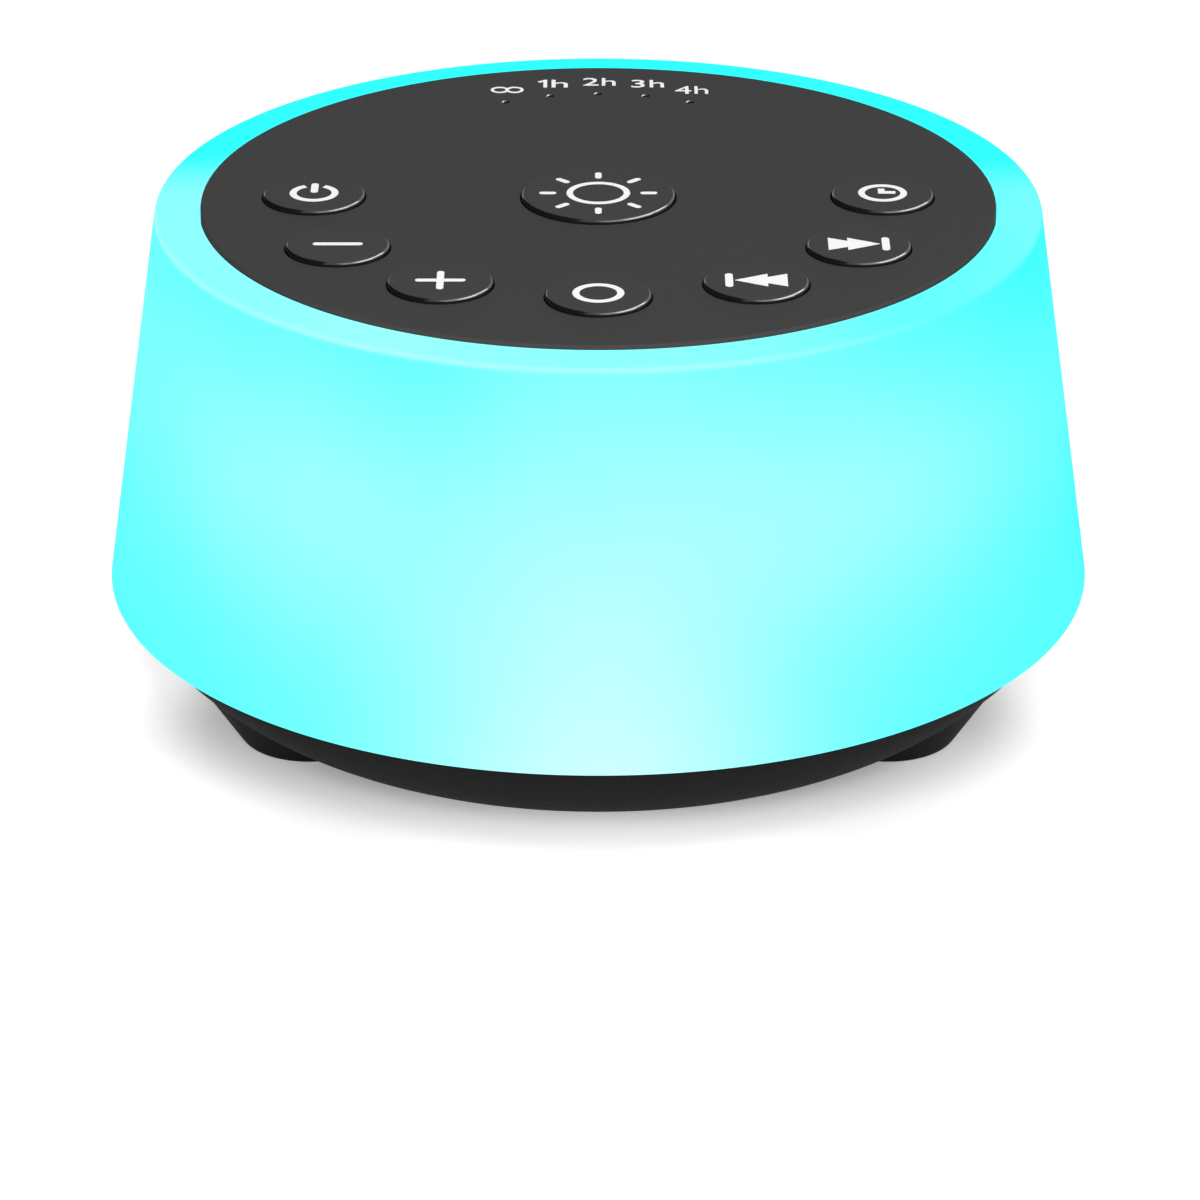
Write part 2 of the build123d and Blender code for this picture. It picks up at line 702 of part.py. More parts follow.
with BuildPart() as base_cover:
    add(base_form.part)
    add(base_hollow.part, mode=Mode.SUBTRACT)
    add(plug_way.part, mode=Mode.SUBTRACT)
    # mouth of the power inlet
    with BuildSketch(Plane.XZ.offset(-pocket_back)):
        with Locations((0, inlet_height)):
            SlotOverall(socket_width + 2 * socket_gap, socket_height + 2 * socket_gap)
    extrude(amount=pocket_wall, mode=Mode.SUBTRACT)
    # bosses for the screws that hold the core
    with BuildSketch(Plane.XY.offset(floor_top)):
        with PolarLocations(base_screw_ring, base_screw_count, start_angle=base_screw_start):
            Circle(base_boss_radius)
    extrude(amount=base_boss_height)
    with BuildSketch(Plane.XY.offset(base_clearance)):
        with PolarLocations(base_screw_ring, base_screw_count, start_angle=base_screw_start):
            Circle(screw_head_radius + head_room)
    extrude(amount=base_boss_top - base_screw_seat - base_clearance, mode=Mode.SUBTRACT)
    with BuildSketch(Plane.XY.offset(base_clearance)):
        with PolarLocations(base_screw_ring, base_screw_count, start_angle=base_screw_start):
            Circle(screw_radius + screw_hole_gap)
    extrude(amount=base_boss_top - base_clearance, mode=Mode.SUBTRACT)
    # ring and bosses that seat the loudspeaker
    with BuildSketch(Plane.XY.offset(floor_top)):
        Circle(locating_ring_outer)
        Circle(locating_ring_inner, mode=Mode.SUBTRACT)
    extrude(amount=locating_ring_height)
    with BuildSketch(Plane.XY.offset(floor_top)):
        with PolarLocations(speaker_screw_ring, speaker_screw_count, start_angle=speaker_screw_start):
            Circle(speaker_boss_radius)
    extrude(amount=frame_flange_top - floor_top)
    with BuildSketch(Plane.XY.offset(frame_flange_top)):
        with PolarLocations(speaker_screw_ring, speaker_screw_count, start_angle=speaker_screw_start):
            Circle(small_screw_radius + thread_gap)
    extrude(amount=-(small_screw_bite + screw_hole_gap), mode=Mode.SUBTRACT)
    # pads under the power board
    with BuildSketch(Plane.XY.offset(floor_top)):
        with Locations((0, power_screw_row)):
            with GridLocations(power_screw_spread, 0, 2, 1):
                Circle(power_pad_radius)
    extrude(amount=power_board_bottom - floor_top)
    with BuildSketch(Plane.XY.offset(power_board_bottom)):
        with Locations((0, power_screw_row)):
            with GridLocations(power_screw_spread, 0, 2, 1):
                Circle(small_screw_radius + thread_gap)
    extrude(amount=-(small_screw_bite + thread_gap), mode=Mode.SUBTRACT)
    # grille of curved slots
    with BuildSketch(Plane.XY.offset(base_clearance)):
        Circle(grille_slot_width)
        for ring in range(1, grille_ring_count):
            ring_radius = ring * grille_ring_step
            slots = grille_slot_count * ring
            spoke_turn = degrees((grille_spoke + grille_slot_width) / ring_radius)
            for slot in range(slots):
                slot_start = slot * 360 / slots + spoke_turn / 2
                slot_line = CenterArc(
                    (0, 0),
                    ring_radius,
                    slot_start,
                    360 / slots - spoke_turn,
                    mode=Mode.PRIVATE,
                )
                SlotArc(slot_line, grille_slot_width)
    extrude(amount=base_wall, mode=Mode.SUBTRACT)
    # shallow recesses that locate the feet
    with BuildSketch(Plane.XY.offset(base_clearance)):
        with Locations(*[on_circle(foot_ring, angle) for angle in foot_angles.values()]):
            Circle(foot_stud_radius + foot_stud_gap)
    extrude(amount=foot_stud_height + foot_stud_gap, mode=Mode.SUBTRACT)
save(base_cover.part, "base_cover")

# Feet: flared, cut to the bowl and clear of the power plug, each with a stud in the underside
for name, angle in foot_angles.items():
    foot_spot = on_circle(foot_ring, angle)
    with BuildPart() as foot:
        with Locations((*foot_spot, 0)):
            Cone(
                foot_radius,
                foot_radius + foot_top * tan(radians(foot_flare)),
                foot_top,
                align=(Align.CENTER, Align.CENTER, Align.MIN),
            )
        fillet(foot.edges().sort_by(Axis.Z)[0], foot_edge_round)
        add(base_form.part, mode=Mode.SUBTRACT)
        add(plug_way.part, mode=Mode.SUBTRACT)
        with BuildSketch(Plane.XY.offset(base_clearance)):
            with Locations(foot_spot):
                Circle(foot_stud_radius)
        extrude(amount=foot_stud_height)
    save(foot.part, f"foot_{name}")

# Loudspeaker: gasket, frame and motor
with BuildPart() as speaker_gasket:
    with BuildSketch(Plane.XY.offset(floor_top)):
        Circle(speaker_radius)
        Circle(speaker_radius - gasket_width, mode=Mode.SUBTRACT)
    extrude(amount=gasket_thickness)
save(speaker_gasket.part, "speaker_gasket")

with BuildPart() as speaker_frame:
    with BuildSketch(Plane.XZ):
        with BuildLine():
            Polyline(
                (frame_inner, surround_top),
                (speaker_radius, surround_top),
                (speaker_radius, frame_flange_top),
                (frame_inner + frame_thickness, frame_flange_top),
                (frame_back_radius, frame_back),
                (magnet_hole_radius, frame_back),
                (magnet_hole_radius, frame_back - frame_thickness),
                (frame_back_radius - frame_thickness, frame_back - frame_thickness),
                (frame_inner, frame_flange_top),
                close=True,
            )
        make_face()
    revolve(axis=Axis.Z)
    with BuildSketch(Plane.XY.offset(frame_flange_top + frame_thickness)):
        with PolarLocations(speaker_radius, frame_window_count):
            Rectangle(speaker_radius, frame_window_width)
    extrude(amount=frame_depth - 3 * frame_thickness, mode=Mode.SUBTRACT)
    # shelf for the spider
    with BuildSketch(Plane.XY.offset(frame_back - frame_thickness)):
        Circle(spider_radius)
        Circle(spider_radius - frame_thickness, mode=Mode.SUBTRACT)
    extrude(amount=-frame_thickness)
save(speaker_frame.part, "speaker_frame")

with BuildPart() as speaker_top_plate:
    with BuildSketch(Plane.XY.offset(frame_back)):
        Circle(top_plate_radius)
        Circle(plate_hole_radius, mode=Mode.SUBTRACT)
    extrude(amount=top_plate_thickness)
save(speaker_top_plate.part, "speaker_top_plate")

with BuildPart() as speaker_magnet:
    with BuildSketch(Plane.XY.offset(top_plate_top)):
        Circle(magnet_radius)
        Circle(magnet_hole_radius, mode=Mode.SUBTRACT)
    extrude(amount=magnet_thickness)
save(speaker_magnet.part, "speaker_magnet")

with BuildPart() as speaker_yoke:
    with BuildSketch(Plane.XY.offset(magnet_top)):
        Circle(top_plate_radius)
    extrude(amount=yoke_thickness)
    fillet(speaker_yoke.edges().sort_by(Axis.Z)[-1], yoke_thickness / 3)
    with BuildSketch(Plane.XY.offset(frame_back)):
        Circle(pole_radius)
    extrude(amount=magnet_top - frame_back)
save(speaker_yoke.part, "speaker_yoke")

# Loudspeaker: what moves, and the two soft rings that carry it
with BuildPart() as speaker_surround:
    roll_middle = cone_radius + roll_radius
    roll_inner = roll_radius - surround_thickness
    with BuildSketch(Plane.XZ):
        with BuildLine():
            Line((roll_middle + roll_radius, gasket_top), (frame_inner + surround_lip, gasket_top))
            Line((frame_inner + surround_lip, gasket_top), (frame_inner + surround_lip, surround_top))
            Line((frame_inner + surround_lip, surround_top), (roll_middle + roll_radius, surround_top))
            ThreePointArc(
                (roll_middle + roll_radius, surround_top),
                (roll_middle, surround_top + roll_radius),
                (roll_middle - roll_radius, surround_top),
            )
            Line((roll_middle - roll_radius, surround_top), (cone_radius - cone_lip, surround_top))
            Line((cone_radius - cone_lip, surround_top), (cone_radius - cone_lip, gasket_top))
            Line((cone_radius - cone_lip, gasket_top), (roll_middle - roll_inner, gasket_top))
            Line((roll_middle - roll_inner, gasket_top), (roll_middle - roll_inner, surround_top))
            ThreePointArc(
                (roll_middle - roll_inner, surround_top),
                (roll_middle, surround_top + roll_inner),
                (roll_middle + roll_inner, surround_top),
            )
            Line((roll_middle + roll_inner, surround_top), (roll_middle + roll_inner, gasket_top))
            Line((roll_middle + roll_inner, gasket_top), (roll_middle + roll_radius, gasket_top))
        make_face()
    revolve(axis=Axis.Z)
save(speaker_surround.part, "speaker_surround")

with BuildPart() as speaker_cone:
    with BuildSketch(Plane.XZ):
        with BuildLine():
            Polyline(
                (cone_radius - cone_lip, cone_edge),
                (cone_radius - thread_gap, cone_edge),
                (cone_radius - thread_gap, cone_edge + cone_thickness),
                (cone_radius - cone_lip, cone_edge + cone_thickness),
                (coil_outer, cone_neck + cone_thickness),
                (coil_outer, cone_neck),
                close=True,
            )
        make_face()
    revolve(axis=Axis.Z)
save(speaker_cone.part, "speaker_cone")

with BuildPart() as voice_coil:
    with BuildSketch(Plane.XY.offset(cone_neck)):
        Circle(coil_outer)
        Circle(coil_inner, mode=Mode.SUBTRACT)
    extrude(amount=frame_back + coil_depth - cone_neck)
save(voice_coil.part, "voice_coil")

cone_fall = cone_depth / (cone_radius - cone_lip - coil_outer)
dome_radius = (dust_cap_radius**2 + dust_cap_depth**2) / (2 * dust_cap_depth)
dome_turn = atan2(dust_cap_radius, dome_radius - dust_cap_depth)


def dome_point(radius, turn):
    """Point of the dust cap's dome, which bulges downwards."""
    return (radius * sin(turn), dome_middle - radius * cos(turn))


with BuildPart() as speaker_dust_cap:
    cap_edge = cone_neck - (dust_cap_radius - coil_outer) * cone_fall - cone_thickness
    dome_middle = cap_edge - dust_cap_depth + dome_radius
    dome_inside = dome_radius - cone_thickness
    with BuildSketch(Plane.XZ):
        with BuildLine():
            ThreePointArc(*[dome_point(dome_radius, turn) for turn in (0, dome_turn / 2, dome_turn)])
            Line(dome_point(dome_radius, dome_turn), dome_point(dome_inside, dome_turn))
            ThreePointArc(*[dome_point(dome_inside, turn) for turn in (dome_turn, dome_turn / 2, 0)])
            Line(dome_point(dome_inside, 0), dome_point(dome_radius, 0))
        make_face()
    revolve(axis=Axis.Z)
save(speaker_dust_cap.part, "speaker_dust_cap")

with BuildPart() as speaker_spider:
    spider_height = frame_back - 2 * frame_thickness - spider_thickness / 2
    spider_inner = coil_outer + thread_gap
    spider_step = (spider_radius - spider_inner) / 4
    spider_rise = (0, -spider_wave, 0, -spider_wave, 0)
    with BuildSketch(Plane.XZ):
        with BuildLine():
            spider_points = [
                (spider_inner + step * spider_step, spider_height + rise)
                for step, rise in enumerate(spider_rise)
            ]
            Spline(*spider_points, tangents=((1, 0), (1, 0)))
        trace(line_width=spider_thickness)
    revolve(axis=Axis.Z)
save(speaker_spider.part, "speaker_spider")

# Power inlet
with BuildPart() as power_socket:
    with BuildSketch(Plane.XZ.offset(-pocket_back)):
        with Locations((0, inlet_height)):
            SlotOverall(socket_width, socket_height)
            SlotOverall(socket_width - 2 * socket_wall, socket_height - 2 * socket_wall, mode=Mode.SUBTRACT)
    extrude(amount=socket_length)
    with BuildSketch(Plane.XZ.offset(-(pocket_back - socket_length))):
        with Locations((0, inlet_height)):
            SlotOverall(socket_width, socket_height)
    extrude(amount=-socket_wall)
save(power_socket.part, "power_socket")

with BuildPart() as power_socket_tongue:
    with BuildSketch(Plane.XZ.offset(-(pocket_back - socket_length + socket_wall))):
        with Locations((0, inlet_height)):
            Rectangle(tongue_width, tongue_thickness)
    extrude(amount=-tongue_length)
    fillet(power_socket_tongue.edges().filter_by(Axis.Z).group_by(Axis.Y)[-1], tongue_thickness)
save(power_socket_tongue.part, "power_socket_tongue")

with BuildPart() as power_board:
    with BuildSketch(Plane.XY.offset(power_board_bottom)):
        with Locations((0, power_board_front)):
            Rectangle(
                power_board_width,
                power_board_back - power_board_front,
                align=(Align.CENTER, Align.MIN),
            )
        with Locations((0, power_screw_row)):
            with GridLocations(power_screw_spread, 0, 2, 1):
                Circle(small_screw_radius + screw_hole_gap, mode=Mode.SUBTRACT)
    extrude(amount=power_board_thickness)
save(power_board.part, "power_board")

# Leads, each from its own board or terminal up through the deck to a connector
power_leads = make_lead(
    [
        (power_screw_row, power_board_top),
        (power_screw_row, deck_bottom / 2),
        (lead_ring, deck_bottom / 2 + 2 * lead_bend),
        (lead_ring, connector_bottom),
    ],
    power_lead_angle,
    twin_lead_width,
)
save(power_leads, "power_leads")

speaker_leads = make_lead(
    [
        (speaker_radius, frame_flange_top),
        (speaker_radius, frame_flange_top + lead_bend),
        (lead_ring, frame_back),
        (lead_ring, connector_bottom),
    ],
    speaker_lead_angle,
    twin_lead_width,
)
save(speaker_leads, "speaker_leads")

light_leads = make_lead(
    [
        (light_board_inner + lead_bend, light_board_top),
        (light_board_inner + lead_bend, light_board_top + lead_climb),
        (lead_ring, light_board_top + lead_climb),
        (lead_ring, connector_bottom),
    ],
    light_lead_angle,
    light_lead_width,
)
save(light_leads, "light_leads")

# Screws
panel_screw = make_screw(
    screw_radius,
    core_wall + deck_gap + board_thickness + screw_bite,
    screw_head_radius,
    screw_head_height,
)
with BuildPart() as panel_screws:
    with Locations(*[(x, y, deck_bottom) for x, y in panel_screw_places]):
        add(panel_screw, rotation=(180, 0, 0))
save(panel_screws.part, "panel_screws")

base_screw = make_screw(screw_radius, base_screw_seat + screw_bite, screw_head_radius, screw_head_height)
with BuildPart() as base_screws:
    with Locations((0, 0, base_boss_top - base_screw_seat)):
        with PolarLocations(base_screw_ring, base_screw_count, start_angle=base_screw_start):
            add(base_screw, rotation=(180, 0, 0))
save(base_screws.part, "base_screws")

speaker_screw = make_screw(
    small_screw_radius,
    small_screw_bite,
    screw_head_radius + head_room,
    screw_head_height,
)
with BuildPart() as speaker_screws:
    with Locations((0, 0, frame_flange_top)):
        with PolarLocations(speaker_screw_ring, speaker_screw_count, start_angle=speaker_screw_start):
            add(speaker_screw)
save(speaker_screws.part, "speaker_screws")

light_board_screw = make_screw(
    small_screw_radius,
    light_board_thickness + small_screw_bite,
    small_screw_head_radius,
    small_screw_head_height,
)
with BuildPart() as light_board_screws:
    with Locations((0, 0, light_board_top)):
        with PolarLocations(light_board_middle, base_screw_count, start_angle=light_screw_start):
            add(light_board_screw)
save(light_board_screws.part, "light_board_screws")

power_board_screw = make_screw(
    small_screw_radius,
    power_board_thickness + small_screw_bite,
    small_screw_head_radius,
    small_screw_head_height,
)
with BuildPart() as power_board_screws:
    with Locations((0, power_screw_row, power_board_top)):
        with GridLocations(power_screw_spread, 0, 2, 1):
            add(power_board_screw)
save(power_board_screws.part, "power_board_screws")
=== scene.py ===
# %% [markdown]
# # A glowing white noise machine, dressed in Blender
#
# The real object is a round night light that also plays sounds. A frosted shell glows cyan, a black panel
# with eight round buttons is let into its top, and a black bowl with three feet carries it.
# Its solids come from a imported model, which stays where it is. This lesson adds what solids can't show:
# the light in the shell, the grain of the plastics, the white marks on the buttons, and the studio.

# %% Load the solids
import math

import bmesh
import bpy
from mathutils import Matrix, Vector


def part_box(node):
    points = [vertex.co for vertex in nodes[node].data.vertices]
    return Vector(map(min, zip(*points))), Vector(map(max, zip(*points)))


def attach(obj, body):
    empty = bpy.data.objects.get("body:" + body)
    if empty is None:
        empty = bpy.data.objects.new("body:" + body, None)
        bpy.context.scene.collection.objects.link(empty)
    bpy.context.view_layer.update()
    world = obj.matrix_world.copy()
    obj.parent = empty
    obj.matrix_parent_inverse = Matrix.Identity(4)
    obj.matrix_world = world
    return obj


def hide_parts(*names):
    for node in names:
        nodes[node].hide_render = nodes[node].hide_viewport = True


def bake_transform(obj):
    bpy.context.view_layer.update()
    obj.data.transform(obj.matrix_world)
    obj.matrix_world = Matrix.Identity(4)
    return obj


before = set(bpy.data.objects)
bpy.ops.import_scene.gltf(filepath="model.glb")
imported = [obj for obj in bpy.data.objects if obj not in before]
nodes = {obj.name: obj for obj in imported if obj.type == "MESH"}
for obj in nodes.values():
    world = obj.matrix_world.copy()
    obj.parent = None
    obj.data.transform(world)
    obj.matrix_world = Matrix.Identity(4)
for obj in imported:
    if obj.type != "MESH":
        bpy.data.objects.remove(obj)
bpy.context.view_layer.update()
bpy.ops.object.select_all(action="DESELECT")
scene = bpy.context.scene
scene.view_settings.view_transform = "Standard"
MM = 0.001  # the scene is in metres, and the machine is easier to read in millimetres

# %% [markdown]
# ## Where the camera stands
#
# The machine was seen from the front, from about half a metre away and a little above. The camera's place
# was found by matching the round edges of the panel and the shell, which look like ellipses of known sizes.
# A long lens keeps those ellipses almost free of perspective, as in a product picture, and a small shift
# sets the machine in the frame.

# %% Camera
camera_back, camera_up = 514.2, 242.2
camera_tilt = 65.58  # degrees, from looking straight down
bpy.ops.object.camera_add(
    location=(0, -camera_back * MM, camera_up * MM),
    rotation=(math.radians(camera_tilt), 0, 0),
)
camera = bpy.context.object
camera.name = "front_camera"
camera.data.lens = 164.2
camera.data.sensor_width = 36
camera.data.shift_x = 0.0014
camera.data.shift_y = -0.0117
scene.camera = camera
print("camera at", [round(value, 3) for value in camera.location])

# %% [markdown]
# ## A short way to write materials
#
# Materials could be wired by hand, node by node, but long lists of links are hard to read. Here a small
# class stands for one output of a node, and plain arithmetic on it adds Math nodes.


# %% Wires
class Wire:
    """One output of a shader node. Arithmetic on it adds Math nodes."""

    def __init__(self, finish, socket):
        self.finish = finish
        self.socket = socket

    def maths(self, operation, *values):
        """A Math node on these values."""
        return self.finish.node("ShaderNodeMath", {"operation": operation}, dict(enumerate(values)))[0]

    def __add__(self, other):
        return self.maths("ADD", self, other)

    __radd__ = __add__

    def __sub__(self, other):
        return self.maths("SUBTRACT", self, other)

    def __rsub__(self, other):
        return self.maths("SUBTRACT", other, self)

    def __mul__(self, other):
        return self.maths("MULTIPLY", self, other)

    __rmul__ = __mul__

    def __truediv__(self, other):
        return self.maths("DIVIDE", self, other)

    def __abs__(self):
        return self.maths("ABSOLUTE", self)

    def bell(self, middle, width):
        """1 where the value is at the middle, falling softly to 0 about two widths away."""
        offset = (self - middle) / width
        return self.maths("EXPONENT", offset * offset * -1)

    def between(self, low, high):
        """The value, kept between two limits."""
        return self.maths("MINIMUM", self.maths("MAXIMUM", self, low), high)

    def step(self, low, high):
        """0 below the first value, 1 above the second, and a smooth climb between them."""
        return self.finish.node(
            "ShaderNodeMapRange",
            {"interpolation_type": "SMOOTHSTEP"},
            {"Value": self, "From Min": low, "From Max": high},
        )["Result"]


print("arithmetic on wires is ready")

# %% [markdown]
# A second class holds the node tree of one finish. One method adds any node, and the others are short names
# for what most finishes need. Glowing surfaces could be sampled as if they were lamps, but the floor and the
# shell are large and only have to look bright, so that is switched off and saves time and grain.


# %% Finishes
class Finish:
    """The node tree of one material or of the world."""

    def __init__(self, owner):
        self.owner = owner
        owner.use_nodes = True
        self.tree = owner.node_tree
        self.tree.nodes.clear()
        if isinstance(owner, bpy.types.Material):
            owner.cycles.emission_sampling = "NONE"

    def node(self, kind, settings=None, inputs=None):
        """Adds a node, sets it up, fills or links its inputs, and gives its outputs by name and number."""
        made = self.tree.nodes.new(kind)
        for name, value in (settings or {}).items():
            setattr(made, name, value)
        for name, value in (inputs or {}).items():
            if isinstance(value, Wire):
                self.tree.links.new(value.socket, made.inputs[name])
            else:
                made.inputs[name].default_value = value
        outputs = {number: Wire(self, socket) for number, socket in enumerate(made.outputs)}
        outputs.update({socket.name: Wire(self, socket) for socket in made.outputs if socket.enabled})
        return outputs

    def blend(self, factor, first, second):
        """A colour between two colours."""
        return self.node(
            "ShaderNodeMix",
            {"data_type": "RGBA"},
            {"Factor": factor, 6: first, 7: second},
        )["Result"]

    def place(self):
        """Where a point is on its piece, in metres."""
        return self.node("ShaderNodeTexCoord")["Object"]

    def noise(self, scale, detail=3.0):
        """Cloudy noise with about this many clouds per metre."""
        return self.node(
            "ShaderNodeTexNoise",
            inputs={"Vector": self.place(), "Scale": scale, "Detail": detail},
        )["Fac"]

    def relief(self, height, depth, strength=1.0):
        """A bumped normal from a height between 0 and 1."""
        return self.node(
            "ShaderNodeBump",
            inputs={"Height": height, "Distance": depth, "Strength": strength},
        )["Normal"]

    def close(self, shader, kind="Material"):
        """Joins the last shader to the output."""
        self.node(f"ShaderNodeOutput{kind}", inputs={"Surface": shader})
        return self.owner


print("finishes are ready")

# %% [markdown]
# ## The studio
#
# The picture has a white ground with a soft grey shadow close under the machine. A bright floor alone would
# need so much light that the machine washes out. Instead the floor is a pale, softly lit surface, and a ray
# that looks at it gets a little light of the floor's own on top. Rays from the camera look at it, and so do
# those that come off shiny surfaces or pass through clear ones. Rays that only carry light get nothing
# extra.


# %% Rays that look
def direct_look(finish):
    """1 for rays that show a thing as it looks, 0 for those that only carry light."""
    path = finish.node("ShaderNodeLightPath")
    looks = path["Is Camera Ray"] + path["Is Glossy Ray"] + path["Is Transmission Ray"]
    return looks.between(0, 1)


print("a helper for rays that look")

# %% [markdown]
# How much light the floor adds depends on the place. Further out it adds more, so that open floor is white
# and the shadow close to the machine stays. The picture's ground is also brighter beside the lower sides of
# the shell and right in front of the bowl, and a little darker at the two front corners of the bowl. Each of
# these is a soft mask, made from the distance to the middle and from the two directions on the floor.

# %% Floor
bpy.ops.mesh.primitive_plane_add(size=8)
floor = bpy.context.object
floor.name = "floor"
ground = Finish(bpy.data.materials.new("studio_ground"))
ground_cloud = ground.noise(3.0)
ground_pale = ground.blend(ground_cloud, (0.86, 0.86, 0.86, 1), (0.90, 0.90, 0.90, 1))
ground_matt = ground.node("ShaderNodeBsdfDiffuse", inputs={"Color": ground_pale})["BSDF"]
far_out = ground.node("ShaderNodeVectorMath", {"operation": "LENGTH"}, {0: ground.place()})["Value"]
ground_spot = ground.node("ShaderNodeSeparateXYZ", inputs={"Vector": ground.place()})
sideways, backwards = abs(ground_spot["X"]), ground_spot["Y"]
near_sides = sideways.step(36 * MM, 44 * MM) * backwards.step(-20 * MM, -2 * MM)
near_sides = near_sides * (1 - far_out.step(60 * MM, 100 * MM))
front_touch = sideways.bell(0, 18 * MM) * (1 - backwards.step(-34 * MM, -24 * MM))
front_touch = front_touch * (1 - far_out.step(36 * MM, 44 * MM))
front_corners = sideways.step(12 * MM, 26 * MM) * far_out.bell(45.5 * MM, 4 * MM)
front_corners = front_corners * (1 - backwards.step(-26 * MM, -14 * MM))
lift_level = 0.30 + far_out.step(50 * MM, 140 * MM) * 0.20
lift_level = lift_level + near_sides * 0.42 + front_touch * 0.15 - front_corners * 0.10
print("floor", tuple(floor.dimensions))

# %% [markdown]
# The pale surface and the floor's own light are added together. Seen from below the floor is clear, so that
# the underside of the machine can be looked at as well.

# %% Finish of the floor
ground_lift = ground.node(
    "ShaderNodeEmission",
    inputs={"Color": (1, 1, 1, 1), "Strength": direct_look(ground) * lift_level},
)["Emission"]
ground_top = ground.node("ShaderNodeAddShader", inputs={0: ground_matt, 1: ground_lift})["Shader"]
from_below = ground.node("ShaderNodeNewGeometry")["Backfacing"]
see_through = ground.node("ShaderNodeBsdfTransparent")["BSDF"]
ground_side = ground.node(
    "ShaderNodeMixShader",
    inputs={0: from_below, 1: ground_top, 2: see_through},
)["Shader"]
floor.data.materials.append(ground.close(ground_side))
print("floor finish:", len(ground.tree.nodes), "nodes")

# %% [markdown]
# Around the floor is the world. It is plain white to rays that look at it, and much dimmer for the light
# that it casts, so that the lamps decide where the shadow falls.

# %% World
studio = Finish(bpy.data.worlds.new("studio"))
scene.world = studio.owner
studio_level = studio.node(
    "ShaderNodeMapRange",
    inputs={"Value": direct_look(studio), "To Min": 0.28, "To Max": 1.0},
)["Result"]
studio_light = studio.node(
    "ShaderNodeBackground",
    inputs={"Color": (1, 1, 1, 1), "Strength": studio_level},
)["Background"]
studio.close(studio_light, "World")
print("world:", scene.world.name)

# %% [markdown]
# A large soft lamp high in front lights everything and keeps the shadow close under the bowl. It is left out
# of reflections, because it would lay a bright patch on the edge of every button. Two more lamps are for
# reflections alone, and matt surfaces don't see them, because the shadow in the picture doesn't lean to the
# left. The long one on the right draws the thin bright line along the right-hand edge of every button, and
# the broad one at the front right draws the paler band along the front of it.


# %% Lamps
def soft_lamp(name, spot, aim, width, height, power):
    """A rectangular lamp at a spot, turned to shine at a point."""
    bpy.ops.object.light_add(type="AREA", location=spot)
    lamp = bpy.context.object
    lamp.name = name
    lamp.data.shape = "RECTANGLE"
    lamp.data.size = width
    lamp.data.size_y = height
    lamp.data.energy = power
    way = [there - here for there, here in zip(aim, spot)]
    flat = math.hypot(way[0], way[1])
    lamp.rotation_euler = (math.atan2(flat, -way[2]), 0, math.atan2(way[1], way[0]) - math.pi / 2)
    return lamp


machine_middle = (0, 0, 0.025)
key_lamp = soft_lamp("key_lamp", (0.05, -0.76, 0.72), machine_middle, 0.60, 0.60, 12.1)
glint_lamp = soft_lamp("glint_lamp", (0.70, -0.05, 0.55), machine_middle, 1.40, 0.40, 20.0)
band_lamp = soft_lamp("band_lamp", (0.48, -0.45, 0.38), machine_middle, 1.24, 0.70, 9.0)
key_lamp.visible_glossy = False
glint_lamp.visible_diffuse = False
band_lamp.visible_diffuse = False
print("lamps:", key_lamp.name, glint_lamp.name, band_lamp.name)

# %% [markdown]
# Shiny black edges show whatever stands around them, and here that is white on every side. A studio puts a
# dark card on one side of a black product, so that its edges turn black there and stay bright on the other.
# The card on the left is seen by shiny surfaces only: it takes no light away and doesn't show in the
# picture.

# %% Dark card
card_size = 1.8
card_spot = (-0.5, 0, 0.91)
bpy.ops.mesh.primitive_plane_add(size=card_size, location=card_spot, rotation=(0, math.pi / 2, 0))
dark_card = bpy.context.object
dark_card.name = "dark_card"
bpy.ops.object.transform_apply(location=True, rotation=True, scale=True)
for way in ("camera", "diffuse", "transmission", "volume_scatter", "shadow"):
    setattr(dark_card, f"visible_{way}", False)
card_felt = Finish(bpy.data.materials.new("card_felt"))
felt_fibre = card_felt.noise(900.0)
felt_shade = card_felt.blend(felt_fibre, (0.006, 0.006, 0.006, 1), (0.014, 0.014, 0.014, 1))
felt_matt = card_felt.node("ShaderNodeBsdfDiffuse", inputs={"Color": felt_shade})["BSDF"]
dark_card.data.materials.append(card_felt.close(felt_matt))
print("dark card", tuple(dark_card.dimensions))

# %% [markdown]
# ## The glowing shell
#
# Inside the frosted shell a ring of lamps shines outwards. Where a lamp is near, the cyan turns paler, and
# between the lamps and near the rim it is deep. Real light through a real diffuser would be slow and noisy
# to render, so the shell's own surface gives off the pattern. On the wall that is a broad pale pool low at
# the front and back and softer pools half-way up at the corners. A deeper streak runs up left of the middle,
# and the upper right is deeper too. How pale a place is goes from 0, pure cyan, to 1, white.

# %% Pale pools on the wall
shell_low, shell_high = 11.6, 51.0
glow = Finish(bpy.data.materials.new("frosted_glow"))
spot = glow.node("ShaderNodeSeparateXYZ", inputs={"Vector": glow.place()})
across, along, height = spot["X"], spot["Y"], spot["Z"]
climb = (height - shell_low * MM) / ((shell_high - shell_low) * MM)
front_pool = across.bell(0, 18 * MM) * (0.50 - 0.40 * climb)
corner_pool = abs(across).bell(27 * MM, 19 * MM) * height.bell(35.5 * MM, 12.5 * MM) * 0.19
left_streak = across.bell(-17 * MM, 9 * MM) * height.step(22 * MM, 36 * MM) * 0.05
right_shade = across.step(22 * MM, 47 * MM) * height.step(26 * MM, 48 * MM) * 0.045
wall_pale = 0.095 + front_pool + corner_pool - left_streak - right_shade - across * 0.5
print("pools on the wall from", shell_low, "to", shell_high, "mm")

